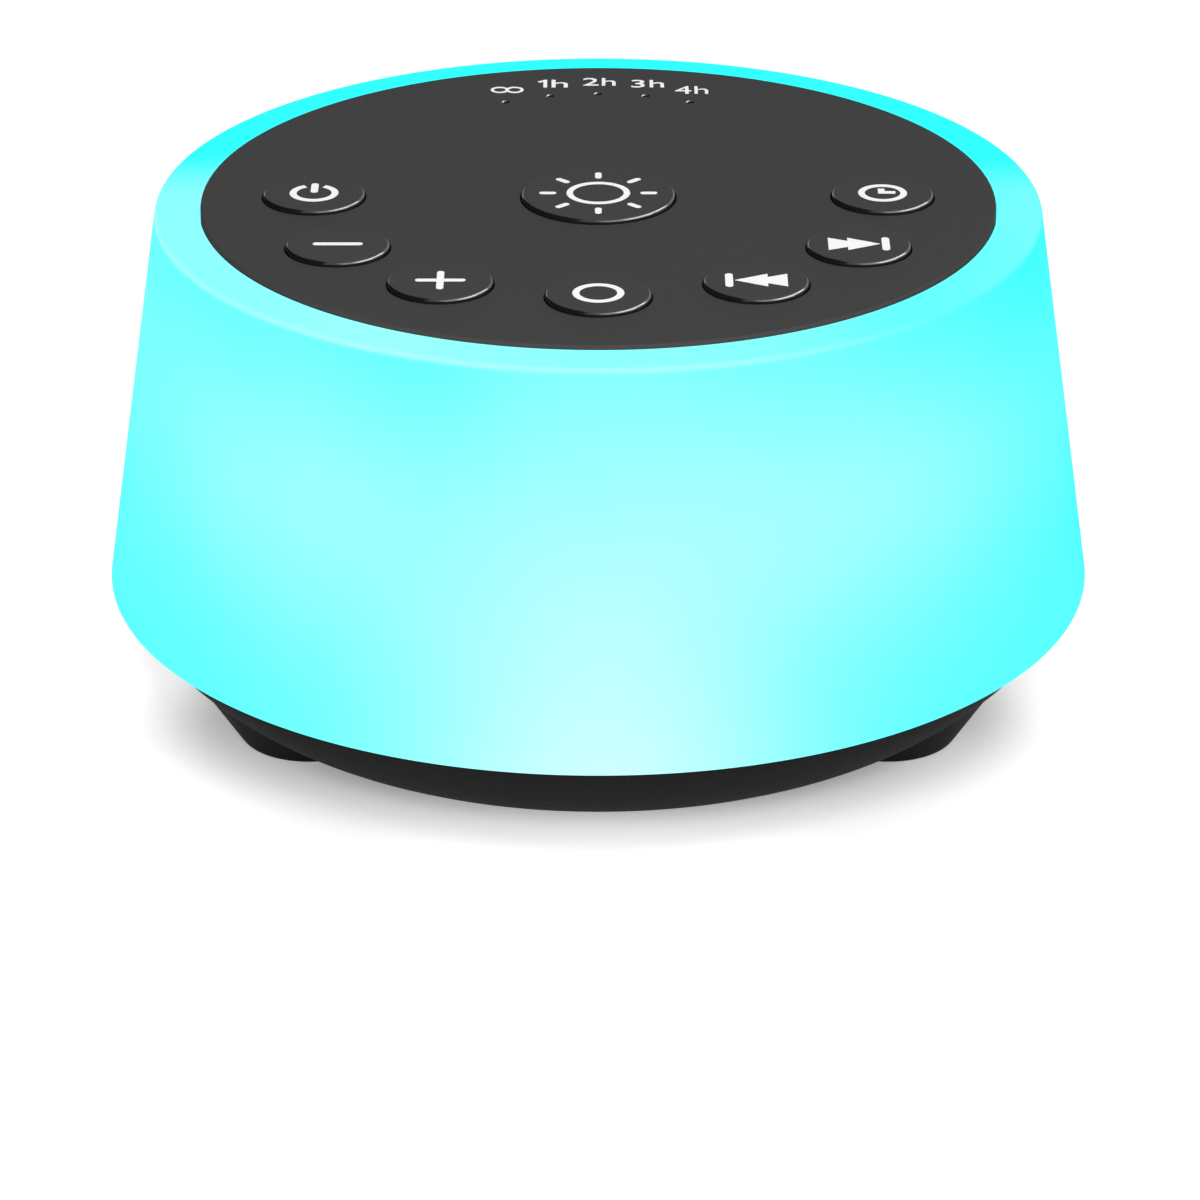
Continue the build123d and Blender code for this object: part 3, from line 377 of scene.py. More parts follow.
# %% [markdown]
# The flat lip is paler at the front than at the back, more so at the left and less at the right. Over the
# lip's own faint glow, that paler front is a painted highlight. A thin pale line along the rounded edge
# between the lip and the wall is a painted highlight too. Faint clouds keep the light from looking drawn.

# %% Lip and edge
# The paler front of the lip and the line on its rounded edge are painted highlight.
near_front = 1 - along.step(0 * MM, 16 * MM)
lip_pools = across.bell(-20 * MM, 14 * MM) - across.bell(30 * MM, 12 * MM)
lip_glow_and_painted_highlight = 0.012 + near_front * (0.185 + lip_pools * 0.07)
on_lip = height.step(50.3 * MM, 50.95 * MM)
painted_edge_highlight = height.bell(50.68 * MM, 0.28 * MM) * near_front * (1 - across.step(8 * MM, 40 * MM)) * 0.17
cloud = (glow.noise(28.0, 2.0) - 0.5) * 0.10
paleness = (wall_pale * (1 - on_lip) + lip_glow_and_painted_highlight * on_lip + painted_edge_highlight + cloud).between(0.02, 0.62)
print("paleness:", len(glow.tree.nodes), "nodes so far")

# %% [markdown]
# The plastic itself is a dark, matt cyan with a fine frost, and the pattern is the light that it gives off.

# %% Frosted, glowing plastic
glow_colour = glow.blend(paleness, (0, 1, 1, 1), (1, 1, 1, 1))
frost = glow.noise(2200.0)
shell_surface = glow.node(
    "ShaderNodeBsdfPrincipled",
    inputs={
        "Base Color": glow.blend(frost, (0.012, 0.16, 0.16, 1), (0.018, 0.20, 0.20, 1)),
        "Roughness": 0.72 + 0.12 * frost,
        "Specular IOR Level": 0.0,
        "Emission Color": glow_colour,
        "Emission Strength": 1.0,
        "Normal": glow.relief(frost, 0.00002, 0.3),
    },
)["BSDF"]
frosted_glow = glow.close(shell_surface)
print("glow:", len(glow.tree.nodes), "nodes")

# %% [markdown]
# Faces and edges could be picked by their numbers, but those change with every step. Here they are picked as
# the eye does it, by where they lie and which way they face. A third helper pushes a level face down and
# spreads it, which is how a hollow is sunk.

# %% Tools for picking faces and edges
level = 0.999  # a face whose normal points up at least this much lies level
same_place = 0.001 * MM  # corners closer than this are one corner


def select_faces(piece, wanted):
    """Selects the faces of a piece in edit mode whose middle and normal pass a test."""
    bpy.ops.mesh.select_mode(type="FACE")
    bpy.ops.mesh.select_all(action="DESELECT")
    drawn = bmesh.from_edit_mesh(piece.data)
    for face in drawn.faces:
        face.select = wanted(face.calc_center_median(), face.normal)
    drawn.select_flush_mode()
    bmesh.update_edit_mesh(piece.data)


def select_rim(piece, height):
    """Selects the edges of a piece in edit mode that lie level at a height in millimetres."""
    bpy.ops.mesh.select_mode(type="EDGE")
    bpy.ops.mesh.select_all(action="DESELECT")
    drawn = bmesh.from_edit_mesh(piece.data)
    for edge in drawn.edges:
        edge.select = all(abs(corner.co.z - height * MM) < same_place for corner in edge.verts)
    drawn.select_flush_mode()
    bmesh.update_edit_mesh(piece.data)


def extrude_to(fall, spread, height):
    """Pushes the selected level face down by a fall, to a height in millimetres, and spreads it there."""
    bpy.ops.mesh.extrude_region_move(TRANSFORM_OT_translate={"value": (0, 0, -fall * MM)})
    bpy.ops.transform.resize(value=(spread, spread, 1), center_override=(0, 0, height * MM))


print("tools ready, exact to", same_place / MM, "mm")

# %% [markdown]
# The shell is a bucket turned upside down, with a wide lip. Its solid has the right sizes, but the round of
# its top edge is made of a few flat facets, which show as small scallops against the white ground. So the
# shell is modelled again with finer edges. A cone with a cut-off tip gives the outside, and bevels round its
# two edges. Insets and extrusions then sink the seat of the panel, the ledge under it and the hollow inside.

# %% Shell
shell_sides = 240
bottom_radius, lip_radius = 49.98, 44.25
top_round, bottom_round = 0.562, 0.289  # from the corner to where the round starts
seat_radius, seat_depth = 39.85, 1.2
ledge_width, ledge_thickness = 3.0, 1.6
hollow_top, hollow_bottom = 42.64, 47.96  # radii
ledge_radius = seat_radius - ledge_width
hollow_high = shell_high - seat_depth - ledge_thickness

bpy.ops.object.select_all(action="DESELECT")
bpy.ops.mesh.primitive_cone_add(
    vertices=shell_sides,
    radius1=bottom_radius * MM,
    radius2=lip_radius * MM,
    depth=(shell_high - shell_low) * MM,
    location=(0, 0, (shell_low + shell_high) / 2 * MM),
)
shell = bpy.context.object
shell.name = "glowing_shell"
bpy.ops.object.transform_apply(location=True, rotation=True, scale=True)
bpy.ops.object.mode_set(mode="EDIT")
select_rim(shell, shell_high)
bpy.ops.mesh.bevel(offset=top_round * MM, segments=6, affect="EDGES")
select_rim(shell, shell_low)
bpy.ops.mesh.bevel(offset=bottom_round * MM, segments=4, affect="EDGES")
select_faces(shell, lambda middle, normal: normal.z > level)
bpy.ops.mesh.inset(thickness=(lip_radius - top_round - seat_radius) * MM)
extrude_to(seat_depth, 1, shell_high - seat_depth)
bpy.ops.mesh.inset(thickness=ledge_width * MM)
extrude_to(ledge_thickness, 1, hollow_high)
extrude_to(0, hollow_top / ledge_radius, hollow_high)
extrude_to(hollow_high - shell_low, hollow_bottom / hollow_top, shell_low)
print("shell so far:", len(shell.data.polygons), "faces")

# %% [markdown]
# The hollow now ends in a face that lies in the plane of the underside. Both faces are deleted, and a bridge
# between the two rims that are left closes the bottom edge. The shell gives no light to matt surfaces around
# it, because the ground in the picture stays grey.


# %% Bottom edge of the shell
def bottom_face(middle, normal):
    """True for the two level faces on the axis at the bottom of the shell."""
    low_down = middle.z < (shell_low + bottom_round) * MM
    return low_down and middle.xy.length < MM and abs(normal.z) > level


select_faces(shell, bottom_face)
bpy.ops.mesh.delete(type="FACE")
select_rim(shell, shell_low)
bpy.ops.mesh.bridge_edge_loops()
bpy.ops.mesh.select_all(action="SELECT")
bpy.ops.mesh.normals_make_consistent(inside=False)
bpy.ops.object.mode_set(mode="OBJECT")
bpy.ops.object.shade_smooth_by_angle(angle=math.radians(30))
shell.data.materials.append(frosted_glow)
shell.visible_diffuse = False
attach(shell, "housing")
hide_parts("diffuser_shell")
print("shell:", len(shell.data.polygons), "faces")

# %% [markdown]
# ## Moulded, metal and soft finishes
#
# Nearly everything else is moulded plastic, sheet metal, rubber or paper. One recipe covers them: two close
# tones mixed by cloudy noise, a roughness that wanders a little, and a fine relief. What differs is the size
# of the grain, the depth of the relief and the gloss.


# %% One recipe for plain surfaces
def plain_surface(made, dark, light, rough, grain, depth, gloss=0.5, metal=0.0):
    """A surface of two close tones with a fine relief; grain is in specks per metre."""
    speck = made.noise(grain)
    wander = made.noise(grain / 25, 2.0)
    shade = made.blend((speck + wander) * 0.5, (*dark, 1), (*light, 1))
    return made.node(
        "ShaderNodeBsdfPrincipled",
        inputs={
            "Base Color": shade,
            "Roughness": rough - 0.06 + 0.12 * wander,
            "Metallic": metal,
            "Specular IOR Level": gloss,
            "Normal": made.relief(speck, depth, 0.35),
        },
    )["BSDF"]


def plain_finish(name, *recipe):
    """A material with one such surface."""
    made = Finish(bpy.data.materials.new(name))
    return made.close(plain_surface(made, *recipe))


def grey(tone):
    """A neutral colour."""
    return (tone, tone, tone)


panel_satin = plain_finish("panel_satin", grey(0.044), grey(0.051), 0.60, 3000, 0.00002, 0.01)
bowl_plastic = plain_finish("bowl_plastic", grey(0.015), grey(0.020), 0.50, 2400, 0.00003, 0.004)
foot_rubber = plain_finish("foot_rubber", grey(0.009), grey(0.013), 0.68, 1800, 0.00005, 0.05)
print("outer finishes:", panel_satin.name, bowl_plastic.name, foot_rubber.name)

# %% [markdown]
# The button caps have two surfaces in one moulding: a matt top and a polished edge. The edge is also far
# darker than the top, which is painted shade on the sides of the caps. Each face could get one or the other,
# but then the line between them would follow the facets. Instead one finish mixes both by how far the
# surface faces up, which every cap carries as an attribute, and the line runs clean round the cap.

# %% Matt tops and polished edges
matt_from, matt_to = 0.885, 0.915  # 1 faces straight up, 0 sideways
cap_black = Finish(bpy.data.materials.new("cap_black"))
cap_satin = plain_surface(cap_black, grey(0.044), grey(0.051), 0.55, 3200, 0.00002, 0.01)
# The polished edge, whose far darker tone is painted shade on the sides of the caps.
polished_edge_and_painted_shade = plain_surface(cap_black, grey(0.005), grey(0.008), 0.18, 3200, 0.000001, 0.60)
cap_upward = cap_black.node("ShaderNodeAttribute", {"attribute_name": "facing_up"})["Fac"]
cap_surface = cap_black.node(
    "ShaderNodeMixShader",
    inputs={0: cap_upward.step(matt_from, matt_to), 1: polished_edge_and_painted_shade, 2: cap_satin},
)["Shader"]
cap_finish = cap_black.close(cap_surface)
print("cap finish:", len(cap_black.tree.nodes), "nodes")

# %% [markdown]
# Inside are a white moulding that throws the light outwards, black switches and chips, pale connectors and
# lamps, and a loudspeaker of sheet metal, rubber, cloth, paper, copper, steel and ferrite. They all follow
# the same recipe, so a table of two tones, roughness, grain, relief, gloss and metal is enough.

# %% Finishes of the parts inside
inner_recipes = {
    "core_white": (grey(0.72), grey(0.80), 0.5, 900, 0.00003),
    "switch_black": (grey(0.015), grey(0.022), 0.45, 2500, 0.00002),
    "plunger_white": (grey(0.60), grey(0.70), 0.4, 2500, 0.00001),
    "chip_black": (grey(0.010), grey(0.018), 0.6, 5000, 0.00003),
    "connector_white": ((0.68, 0.66, 0.58), (0.76, 0.74, 0.66), 0.4, 1500, 0.00001),
    "led_body": ((0.70, 0.68, 0.50), (0.84, 0.82, 0.62), 0.3, 1800, 0.00001),
    "clear_guide": (grey(0.10), grey(0.16), 0.15, 900, 0.00001),
    "foam": (grey(0.018), grey(0.040), 0.95, 2600, 0.0002, 0.1),
    "frame_metal": (grey(0.020), grey(0.030), 0.4, 1500, 0.00002),
    "surround_rubber": (grey(0.012), grey(0.018), 0.6, 1600, 0.00003, 0.3),
    "spider_cloth": ((0.42, 0.22, 0.06), (0.60, 0.34, 0.12), 0.9, 3500, 0.0001, 0.1),
    "cone_paper": (grey(0.022), grey(0.045), 0.85, 1400, 0.00008, 0.2),
    "copper": ((0.55, 0.22, 0.10), (0.72, 0.32, 0.16), 0.35, 4000, 0.00003, 0.5, 1.0),
    "motor_steel": (grey(0.42), grey(0.56), 0.35, 1200, 0.00002, 0.5, 1.0),
    "ferrite": (grey(0.030), grey(0.055), 0.6, 1600, 0.00006, 0.4),
    "socket_steel": (grey(0.50), grey(0.62), 0.28, 1800, 0.00001, 0.5, 1.0),
    "tongue_black": (grey(0.012), grey(0.018), 0.4, 2500, 0.00001),
    "lead_red": ((0.40, 0.02, 0.02), (0.52, 0.03, 0.03), 0.45, 1500, 0.00002),
    "lead_grey": (grey(0.30), grey(0.38), 0.45, 1500, 0.00002),
    "screw_steel": (grey(0.36), grey(0.50), 0.32, 2600, 0.00002, 0.5, 1.0),
}
inner_finishes = {name: plain_finish(name, *recipe) for name, recipe in inner_recipes.items()}
print("inner finishes:", len(inner_finishes))

# %% [markdown]
# The circuit boards are green or white, with paler tracks under the varnish. A wave texture gives narrow
# bands in two directions, and round cells decide which of the two shows, so the bands turn corners like
# tracks.


# %% Circuit boards
def board_finish(name, ground_tone, track_tone):
    """A varnished board with tracks that change direction from patch to patch."""
    made = Finish(bpy.data.materials.new(name))
    bands = [
        made.node(
            "ShaderNodeTexWave",
            {"bands_direction": way},
            {"Vector": made.place(), "Scale": 260.0},
        )["Fac"].step(0.80, 0.86)
        for way in ("X", "Y")
    ]
    patch = made.node(
        "ShaderNodeTexVoronoi",
        inputs={"Vector": made.place(), "Scale": 160.0},
    )["Distance"].step(0.45, 0.47)
    track = bands[0] * patch + bands[1] * (1 - patch)
    surface = made.node(
        "ShaderNodeBsdfPrincipled",
        inputs={
            "Base Color": made.blend(track, (*ground_tone, 1), (*track_tone, 1)),
            "Roughness": 0.28 + 0.10 * track,
            "Normal": made.relief(track, 0.00004, 0.5),
        },
    )["BSDF"]
    return made.close(surface)


inner_finishes["board_green"] = board_finish("board_green", (0.006, 0.085, 0.028), (0.020, 0.190, 0.060))
inner_finishes["board_white"] = board_finish("board_white", grey(0.66), grey(0.78))
print("finishes inside, with the boards:", len(inner_finishes))

# %% [markdown]
# ## Each solid gets its finish
#
# The solids already have the right shapes, so their material slots are filled and nothing else is touched.
# Outside that is the panel, the bowl and the feet.

# %% Outer pieces
dressed = {
    "top_panel": panel_satin,
    "base_cover": bowl_plastic,
    "foot_left": foot_rubber,
    "foot_right": foot_rubber,
    "foot_rear": foot_rubber,
}
print("outer solids:", len(dressed))

# %% [markdown]
# Inner pieces are dressed too, since they show through the grille or when the machine is taken apart. The
# caps and the loudspeaker's two soft rings are left out here, because they are modelled further down.

# %% Inner pieces
button_names = ("power", "volume_down", "volume_up", "play", "previous", "next", "timer", "light")
inner_pieces = {
    "core_white": ("reflector_core",),
    "board_green": ("control_board", "power_board"),
    "board_white": ("light_board",),
    "switch_black": ("switch_bodies",),
    "plunger_white": tuple(f"{name}_plunger" for name in button_names),
    "chip_black": ("sound_chip", "amplifier_chip"),
    "connector_white": ("board_connectors",),
    "led_body": ("night_light_leds", "indicator_leds"),
    "clear_guide": ("indicator_light_guide",),
    "foam": ("speaker_gasket",),
    "frame_metal": ("speaker_frame",),
    "cone_paper": ("speaker_cone", "speaker_dust_cap"),
    "copper": ("voice_coil",),
    "motor_steel": ("speaker_top_plate", "speaker_yoke"),
    "ferrite": ("speaker_magnet",),
    "socket_steel": ("power_socket",),
    "tongue_black": ("power_socket_tongue",),
    "lead_red": ("power_leads",),
    "lead_grey": ("speaker_leads", "light_leads"),
    "screw_steel": (
        "panel_screws",
        "base_screws",
        "speaker_screws",
        "light_board_screws",
        "power_board_screws",
    ),
}
for finish_name, piece_names in inner_pieces.items():
    for piece_name in piece_names:
        dressed[piece_name] = inner_finishes[finish_name]
for piece_name, finish in dressed.items():
    nodes[piece_name].data.materials.clear()
    nodes[piece_name].data.materials.append(finish)
print("dressed solids:", len(dressed))

# %% [markdown]
# ## Button caps with a sunken top
#
# On the real caps the white marks are printed on a top that lies a hair below a soft rim, which keeps
# fingers from rubbing them off. A new cap could be turned from a profile, but the solid cap already has its
# flange, its notch and its stem. So a copy of it is taken, its top is made one face, and that face is inset
# and sunk. Last, each corner notes how far it faces up, for the finish.

# %% Caps
dish_depth = 0.05 * MM
dish_slope = 0.7 * MM


def sunken_cap(name):
    """A copy of a button's solid with its top sunk inside a soft rim."""
    solid = nodes[f"{name}_button"]
    cap = bpy.data.objects.new(f"{name}_cap", solid.data.copy())
    scene.collection.objects.link(cap)
    bpy.ops.object.select_all(action="DESELECT")
    cap.select_set(True)
    bpy.context.view_layer.objects.active = cap
    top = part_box(f"{name}_button")[1].z
    bpy.ops.mesh.customdata_custom_splitnormals_clear()
    bpy.ops.object.mode_set(mode="EDIT")
    bpy.ops.mesh.select_all(action="SELECT")
    bpy.ops.mesh.remove_doubles(threshold=same_place)
    select_faces(cap, lambda middle, normal: middle.z > top - 2 * same_place and normal.z > level)
    bpy.ops.mesh.dissolve_faces()
    bpy.ops.mesh.inset(thickness=dish_slope, depth=-dish_depth)
    cap.data.materials.clear()
    cap.data.materials.append(cap_finish)
    bpy.ops.object.mode_set(mode="OBJECT")
    bpy.ops.object.shade_smooth_by_angle(angle=math.radians(35))
    facing_up = cap.data.attributes.new("facing_up", "FLOAT", "POINT")
    for corner in cap.data.vertices:
        facing_up.data[corner.index].value = corner.normal.z
    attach(cap, f"{name}_key")
    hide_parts(f"{name}_button")
    return cap


caps = {name: sunken_cap(name) for name in button_names}
print("caps:", {name: len(cap.data.polygons) for name, cap in caps.items()})

# %% [markdown]
# ## White marks
#
# The marks are prints: flat, white and sharp. They could be painted by the cap's material, but a thin mesh
# has cleaner edges and can be recoloured by itself. Each one is drawn flat out of rings, round-ended bars
# and arrowheads. A ring is a disc whose inside is inset and deleted, and it may be left open at the back.


# %% Rings
def start_mark(name):
    """A new, empty mesh in edit mode, ready for strokes."""
    bpy.ops.object.select_all(action="DESELECT")
    bpy.ops.mesh.primitive_plane_add(size=MM)
    mark = bpy.context.object
    mark.name = name
    bpy.ops.object.mode_set(mode="EDIT")
    bpy.ops.mesh.delete(type="VERT")
    return mark


def ring_stroke(mark, middle, outer, inner, gap=0.0):
    """A flat ring by its two diameters in millimetres; gap is the angle left open at the back."""
    bpy.ops.mesh.select_mode(type="FACE")
    bpy.ops.mesh.primitive_circle_add(vertices=96, radius=outer / 2 * MM, fill_type="NGON", location=middle)
    bpy.ops.mesh.inset(thickness=(outer - inner) / 2 * MM)
    bpy.ops.mesh.delete(type="FACE")
    if gap:
        reach = math.sin(gap / 2)

        def in_gap(spot, normal):
            offset = spot - Vector(middle)
            return offset.y > 0 and abs(offset.x) < reach * offset.length

        select_faces(mark, in_gap)
        bpy.ops.mesh.delete(type="FACE")


print("rings can be drawn")

# %% [markdown]
# A bar is a square that is stretched and gets its corners rounded. An arrowhead is a circle with only three
# corners, squeezed to its size and turned to point left or right.


# %% Bars and arrowheads
def bar_stroke(middle, length, width, turn=0.0, roundness=0.49):
    """A flat bar with round ends, in millimetres, turned about its middle."""
    bpy.ops.mesh.primitive_plane_add(size=MM, location=middle)
    bpy.ops.transform.resize(value=(length, width, 1), center_override=middle)
    bpy.ops.mesh.bevel(offset=width * roundness * MM, segments=6, affect="VERTICES")
    bpy.ops.transform.rotate(value=-turn, orient_axis="Z", center_override=middle)


def arrow_stroke(tip, length, height):
    """A flat arrowhead, in millimetres, with its tip at a point; a negative length points left."""
    reach = length / 1.5
    middle = (tip[0] - reach * MM, tip[1], tip[2])
    bpy.ops.mesh.primitive_circle_add(vertices=3, radius=MM, fill_type="NGON", location=middle)
    quarter_turn = math.copysign(math.pi / 2, length)
    bpy.ops.transform.resize(value=(height / math.sqrt(3), abs(reach), 1), center_override=middle)
    bpy.ops.transform.rotate(value=quarter_turn, orient_axis="Z", center_override=middle)


print("bars and arrowheads can be drawn")

# %% [markdown]
# Printed ink has a thickness that can just be felt. A Solidify modifier gives it to the flat drawing, which
# starts a trace inside the surface, so that no gap shows under it.

# %% White print
print_thickness = 0.03 * MM
print_sink = 0.005 * MM
print_white = plain_finish("print_white", grey(0.90), grey(0.94), 0.5, 4000, 0.00001, 0.2)


def finish_mark(mark, body):
    """Gives a drawn mark its thickness and its white, and lets it ride."""
    bpy.ops.object.mode_set(mode="OBJECT")
    bpy.ops.object.modifier_add(type="SOLIDIFY")
    mark.modifiers[-1].thickness = print_thickness
    mark.modifiers[-1].offset = 1
    bpy.ops.object.modifier_apply(modifier=mark.modifiers[-1].name)
    mark.data.materials.append(print_white)
    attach(mark, body)
    return mark


print("print thickness in mm:", print_thickness / MM)

# %% [markdown]
# The seven small caps carry a power sign, a minus, a plus, a plain ring, two skip signs and a clock, and the
# large cap in the middle carries a sun. Every mark is drawn about the middle of its own cap.


# %% Marks on the caps
def cap_middle_along(name):
    """The middle of a cap from front to back; its flange has a notch at the back, its plunger has none."""
    low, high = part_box(f"{name}_plunger")
    return (low.y + high.y) / 2


def cap_spot(name, across=0.0, along=0.0, lift=0.0):
    """A point on the sunken top of a cap, in millimetres from its middle."""
    low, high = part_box(f"{name}_button")
    top_height = high.z - dish_depth - print_sink + lift
    return ((low.x + high.x) / 2 + across * MM, cap_middle_along(name) + along * MM, top_height)


marks = {}

marks["power"] = start_mark("power_mark")
ring_stroke(marks["power"], cap_spot("power"), 4.88, 3.50, gap=math.radians(52))
bar_stroke(cap_spot("power", 0, 1.42), 2.65, 0.74, turn=math.pi / 2)
finish_mark(marks["power"], "power_key")

marks["volume_down"] = start_mark("minus_mark")
bar_stroke(cap_spot("volume_down"), 4.90, 0.72)
finish_mark(marks["volume_down"], "volume_down_key")

marks["play"] = start_mark("ring_mark")
ring_stroke(marks["play"], cap_spot("play"), 4.98, 3.62)
finish_mark(marks["play"], "play_key")
print("marks so far:", sorted(marks))

# %% [markdown]
# Where two strokes cross, their tops would lie in the same plane and shade each other in patches. The upper
# stroke is therefore lifted by a few thousandths of a millimetre, like a second pass of ink.

# %% Plus, clock and skip signs
second_pass = 0.004 * MM

marks["volume_up"] = start_mark("plus_mark")
bar_stroke(cap_spot("volume_up"), 4.86, 0.70)
bar_stroke(cap_spot("volume_up", lift=second_pass), 4.74, 0.70, turn=math.pi / 2)
finish_mark(marks["volume_up"], "volume_up_key")

marks["timer"] = start_mark("clock_mark")
ring_stroke(marks["timer"], cap_spot("timer"), 4.88, 3.56)
bar_stroke(cap_spot("timer", 0.42, 0.16), 1.74, 0.70, roundness=0.12)
bar_stroke(cap_spot("timer", -0.10, 0.50, second_pass), 1.38, 0.68, turn=math.pi / 2, roundness=0.12)
finish_mark(marks["timer"], "timer_key")

for name, side in (("previous", -1), ("next", 1)):
    marks[name] = start_mark(f"{name}_mark")
    arrow_stroke(cap_spot(name, side * 0.62), side * 3.62, 3.3)
    arrow_stroke(cap_spot(name, side * 2.06, lift=second_pass), side * 3.16, 3.3)
    bar_stroke(cap_spot(name, side * 2.62), 3.50, 0.76, turn=math.pi / 2)
    finish_mark(marks[name], f"{name}_key")
print("marks so far:", sorted(marks))

# %% [markdown]
# The sun on the large cap is a ring with eight short rays. A ray is a bar that lies along its own direction,
# half-way between an inner and an outer circle.

# %% Sun
ray_inner, ray_outer = 4.2, 5.9
ray_count = 8
marks["light"] = start_mark("sun_mark")
ring_stroke(marks["light"], cap_spot("light"), 6.36, 5.08)
for number in range(ray_count):
    turn = number * math.tau / ray_count
    reach = (ray_inner + ray_outer) / 2
    ray_middle = cap_spot("light", reach * math.cos(turn), reach * math.sin(turn))
    bar_stroke(ray_middle, ray_outer - ray_inner, 0.66, turn=turn)
finish_mark(marks["light"], "light_key")
print("marks:", {mark.name: len(mark.data.polygons) for mark in marks.values()})

# %% [markdown]
# ## Timer labels
#
# Five small lights near the back of the panel show how long the machine will run, from always to four hours.
# Their labels are lettering in a plain, wide face. Text starts as a curve: it is given its size and weight,
# turned into a mesh, and only then set in its place. The four keeps its own weight, because a heavier
# outline would pinch its small hole shut.

# %% Labels
panel_high = 51.4
panel_face = panel_high * MM - print_sink
letter_size = 3.3  # before a label is brought to its own height and width
label_height = 2.40
label_weight = 0.012 * MM  # how far an outline grows
label_spots = {  # across, along and width in mm, then the weight
    "2h": (0.1, 35.0, 3.46, label_weight),
    "3h": (5.2, 34.4, 3.46, label_weight),
    "4h": (9.8, 32.4, 3.52, 0.0),
    "h": (-4.08, 34.4, 1.72, label_weight),
}


def hour_label(words, across, along, width, weight):
    """Lettering on the panel by its middle and its width in millimetres."""
    bpy.ops.object.select_all(action="DESELECT")
    bpy.ops.object.text_add()
    label = bpy.context.object
    label.name = f"label_{words}"
    label.data.body = words
    label.data.size = letter_size * MM
    label.data.offset = weight
    label.data.extrude = print_thickness / 2
    bpy.ops.object.convert(target="MESH")
    bpy.ops.object.mode_set(mode="EDIT")
    bpy.ops.mesh.select_all(action="SELECT")
    bpy.ops.mesh.remove_doubles(threshold=same_place / 2)
    bpy.ops.object.mode_set(mode="OBJECT")
    bpy.ops.object.origin_set(type="ORIGIN_GEOMETRY", center="BOUNDS")
    label.scale = (width * MM / label.dimensions.x, label_height * MM / label.dimensions.y, 1)
    label.location = (across * MM, along * MM, panel_face + print_thickness / 2)
    bpy.ops.object.transform_apply(location=True, rotation=True, scale=True)
    label.data.materials.append(print_white)
    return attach(label, "housing")


labels = [hour_label(words, *spot) for words, spot in label_spots.items()]
print("lettering:", [label.name for label in labels])

# %% [markdown]
# The letters of the usual face are right except for the figure one, which has no flag there. So that one is
# drawn from two bars, and the sign for always is two rings.


# %% Figure one and the sign for always
def panel_spot(across, along, lift=0.0):
    """A point on the panel in millimetres."""
    return (across * MM, along * MM, panel_face + lift)


figure_one = start_mark("label_1")
bar_stroke(panel_spot(-5.61, 34.4), label_height, 0.40, turn=math.pi / 2, roundness=0.05)
bar_stroke(panel_spot(-5.93, 35.15, second_pass), 0.95, 0.38, turn=math.radians(34), roundness=0.05)
labels.append(finish_mark(figure_one, "housing"))

always_sign = start_mark("label_always")
for side, lift in ((-1, 0.0), (1, second_pass)):
    ring_stroke(always_sign, panel_spot(-9.6 + side * 0.78, 32.4, lift), 1.92, 1.24)
labels.append(finish_mark(always_sign, "housing"))
print("labels:", [label.name for label in labels])

# %% [markdown]
# Under each label a small lens closes a hole in the panel, a little below its face. The five lie on an arc,
# at even steps. Smoked plastic looks nearly black until a lamp behind it is lit, so both finishes are dark,
# a polished one for the wall of the lens and a dull one for its floor. The floor is darker still, which is
# painted shade in the hollow of the lens.

# %% Where the lenses lie
lens_count, first_lens, lens_step = 5, 60, 15  # the last two in degrees along the arc
lens_arc, lens_arc_middle = 19.3, 11.9  # the arc's radius, and its middle towards the back
lens_smoke = plain_finish("lens_smoke", grey(0.010), grey(0.018), 0.24, 2600, 0.000001, 0.8)
# The dull floor of each lens, darker than its wall: painted shade in the hollow.
lens_floor_painted_shade = plain_finish("lens_floor_painted_shade", grey(0.004), grey(0.007), 0.5, 2600, 0.00001, 0.02)


def lens_spot(turn):
    """The middle of an indicator hole, on an arc near the back of the panel."""
    angle = math.radians(turn)
    return Vector((lens_arc * math.cos(angle), lens_arc_middle + lens_arc * math.sin(angle), 0)) * MM


print("first lens at", [round(value / MM, 1) for value in lens_spot(first_lens).xy], "mm")

# %% [markdown]
# The top of a lens is a shallow dish. Its polished wall gets less steep on the way down, so that it catches
# the light on the far left, while the dull floor stays dark with its painted shade. The lens starts as a
# short disc, and insets sink its top step by step. One is made, and the others are copies of it.

# %% Indicator lenses
lens_radius, lens_rim = 0.52, 0.03
lens_low, lens_high = 51.26, 51.385
lens_walls = ((0.03, 0.055), (0.045, 0.045))  # how far in and how far down
dish_floor = (0.20, 0.005)
lenses = start_mark("indicator_lenses")
bpy.ops.mesh.primitive_cylinder_add(
    vertices=40,
    radius=lens_radius * MM,
    depth=(lens_high - lens_low) * MM,
    location=lens_spot(first_lens) + Vector((0, 0, (lens_low + lens_high) / 2 * MM)),
)
select_faces(lenses, lambda middle, normal: normal.z > level)
bpy.ops.mesh.inset(thickness=lens_rim * MM)
for inwards, down in lens_walls:
    bpy.ops.mesh.inset(thickness=inwards * MM, depth=-down * MM)
lenses.data.materials.append(lens_smoke)
lenses.data.materials.append(lens_floor_painted_shade)
lenses.active_material_index = 1
bpy.ops.object.material_slot_assign()
bpy.ops.mesh.inset(thickness=dish_floor[0] * MM, depth=-dish_floor[1] * MM)
bpy.ops.mesh.select_all(action="SELECT")
for number in range(1, lens_count):
    turn = first_lens + number * lens_step
    bpy.ops.mesh.duplicate()
    bpy.ops.transform.translate(value=lens_spot(turn) - lens_spot(turn - lens_step))
bpy.ops.object.mode_set(mode="OBJECT")
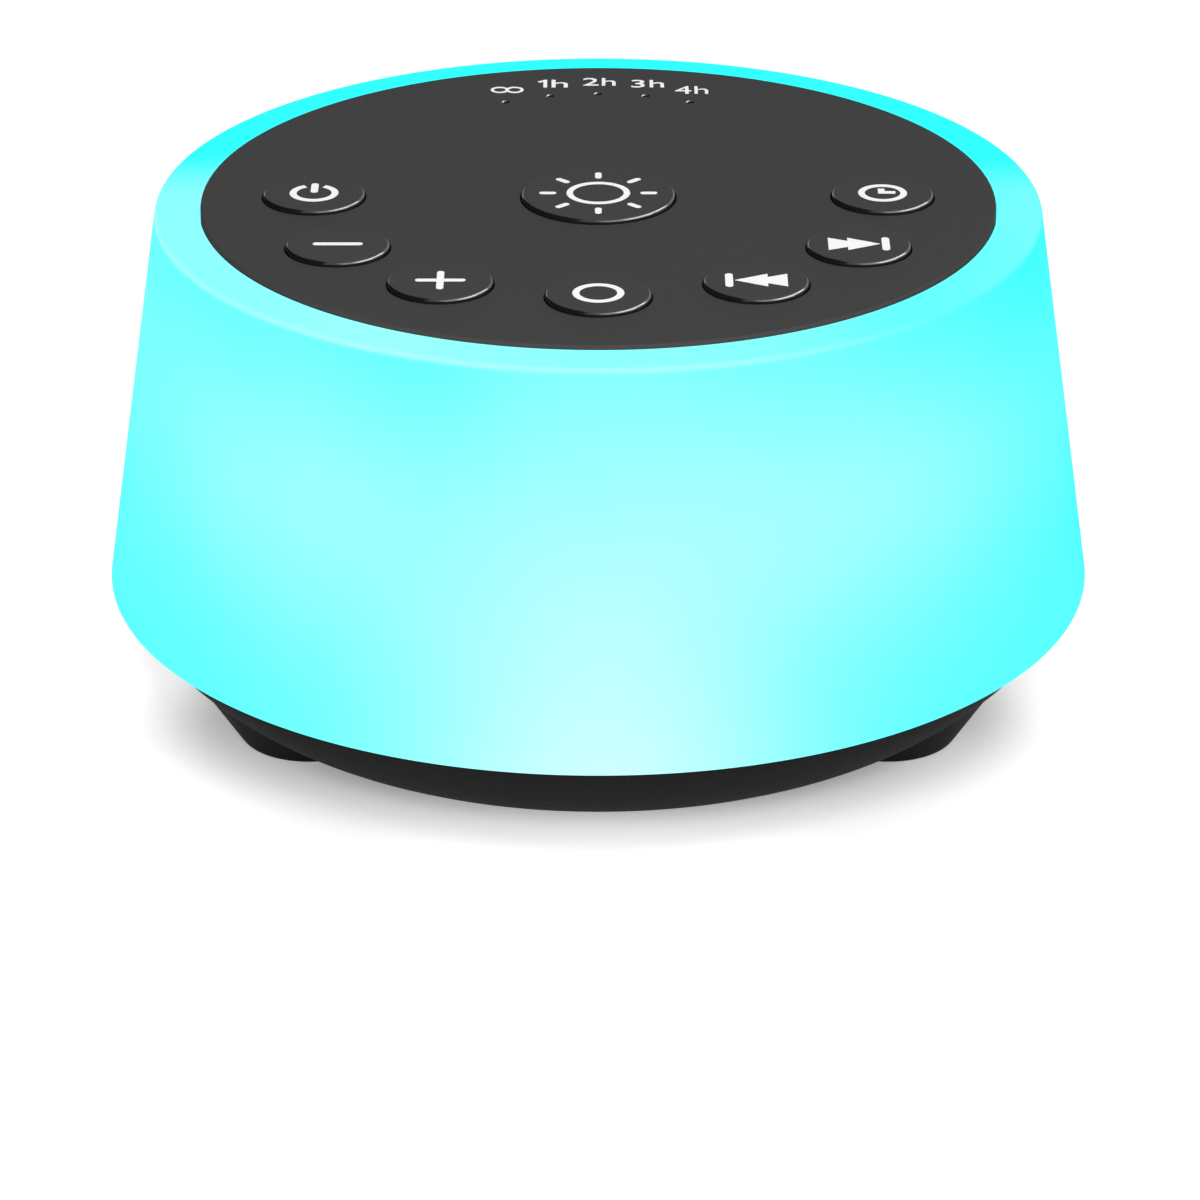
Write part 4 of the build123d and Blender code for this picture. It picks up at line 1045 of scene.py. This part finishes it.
bpy.ops.object.shade_smooth_by_angle(angle=math.radians(30))
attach(lenses, "housing")
print("lenses:", len(lenses.data.polygons), "faces")

# %% [markdown]
# ## The speaker's soft rings
#
# The loudspeaker's cone hangs in two soft rings, a rubber surround at its edge and a cloth spider at its
# neck. Each ring's outer edge stays with the frame, and its inner edge moves with the cone. A piece can bend
# between two bodies along one direction only, so each ring is cut like a cake into wedges.


# %% Wedges of the soft rings
def ring_wedge(ring, slot, count, number):
    """One wedge of a soft ring, cut from a copy of its solid between two turns."""
    wedge = bpy.data.objects.new(f"{ring}_wedge_{number + 1}", nodes[ring].data.copy())
    scene.collection.objects.link(wedge)
    bpy.ops.object.select_all(action="DESELECT")
    wedge.select_set(True)
    bpy.context.view_layer.objects.active = wedge
    bpy.ops.mesh.customdata_custom_splitnormals_clear()
    bpy.ops.object.mode_set(mode="EDIT")
    bpy.ops.mesh.select_all(action="SELECT")
    bpy.ops.mesh.remove_doubles(threshold=same_place)
    width = math.tau / count
    for turn, far_side in ((number * width, False), ((number + 1) * width, True)):
        bpy.ops.mesh.select_all(action="SELECT")
        bpy.ops.mesh.bisect(
            plane_co=(0, 0, 0),
            plane_no=(-math.sin(turn), math.cos(turn), 0),
            use_fill=True,
            threshold=same_place / 2,
            clear_inner=not far_side,
            clear_outer=far_side,
        )
    bpy.ops.object.mode_set(mode="OBJECT")
    bpy.ops.object.shade_smooth_by_angle(angle=math.radians(35))
    wedge.data.materials.clear()
    wedge.data.materials.append(inner_finishes[slot])
    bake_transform(wedge)
    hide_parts(ring)
    return wedge


rings = {
    "speaker_surround": ("surround_rubber", 10, 22.5, 19.7),
    "speaker_spider": ("spider_cloth", 6, 14.2, 8.9),
}  # finish, wedges, and the two radii in mm
wedges = []
for ring, (slot, count, outer, inner) in rings.items():
    wedges += [ring_wedge(ring, slot, count, number) for number in range(count)]
print("wedges:", {wedge.name: len(wedge.data.polygons) for wedge in wedges})
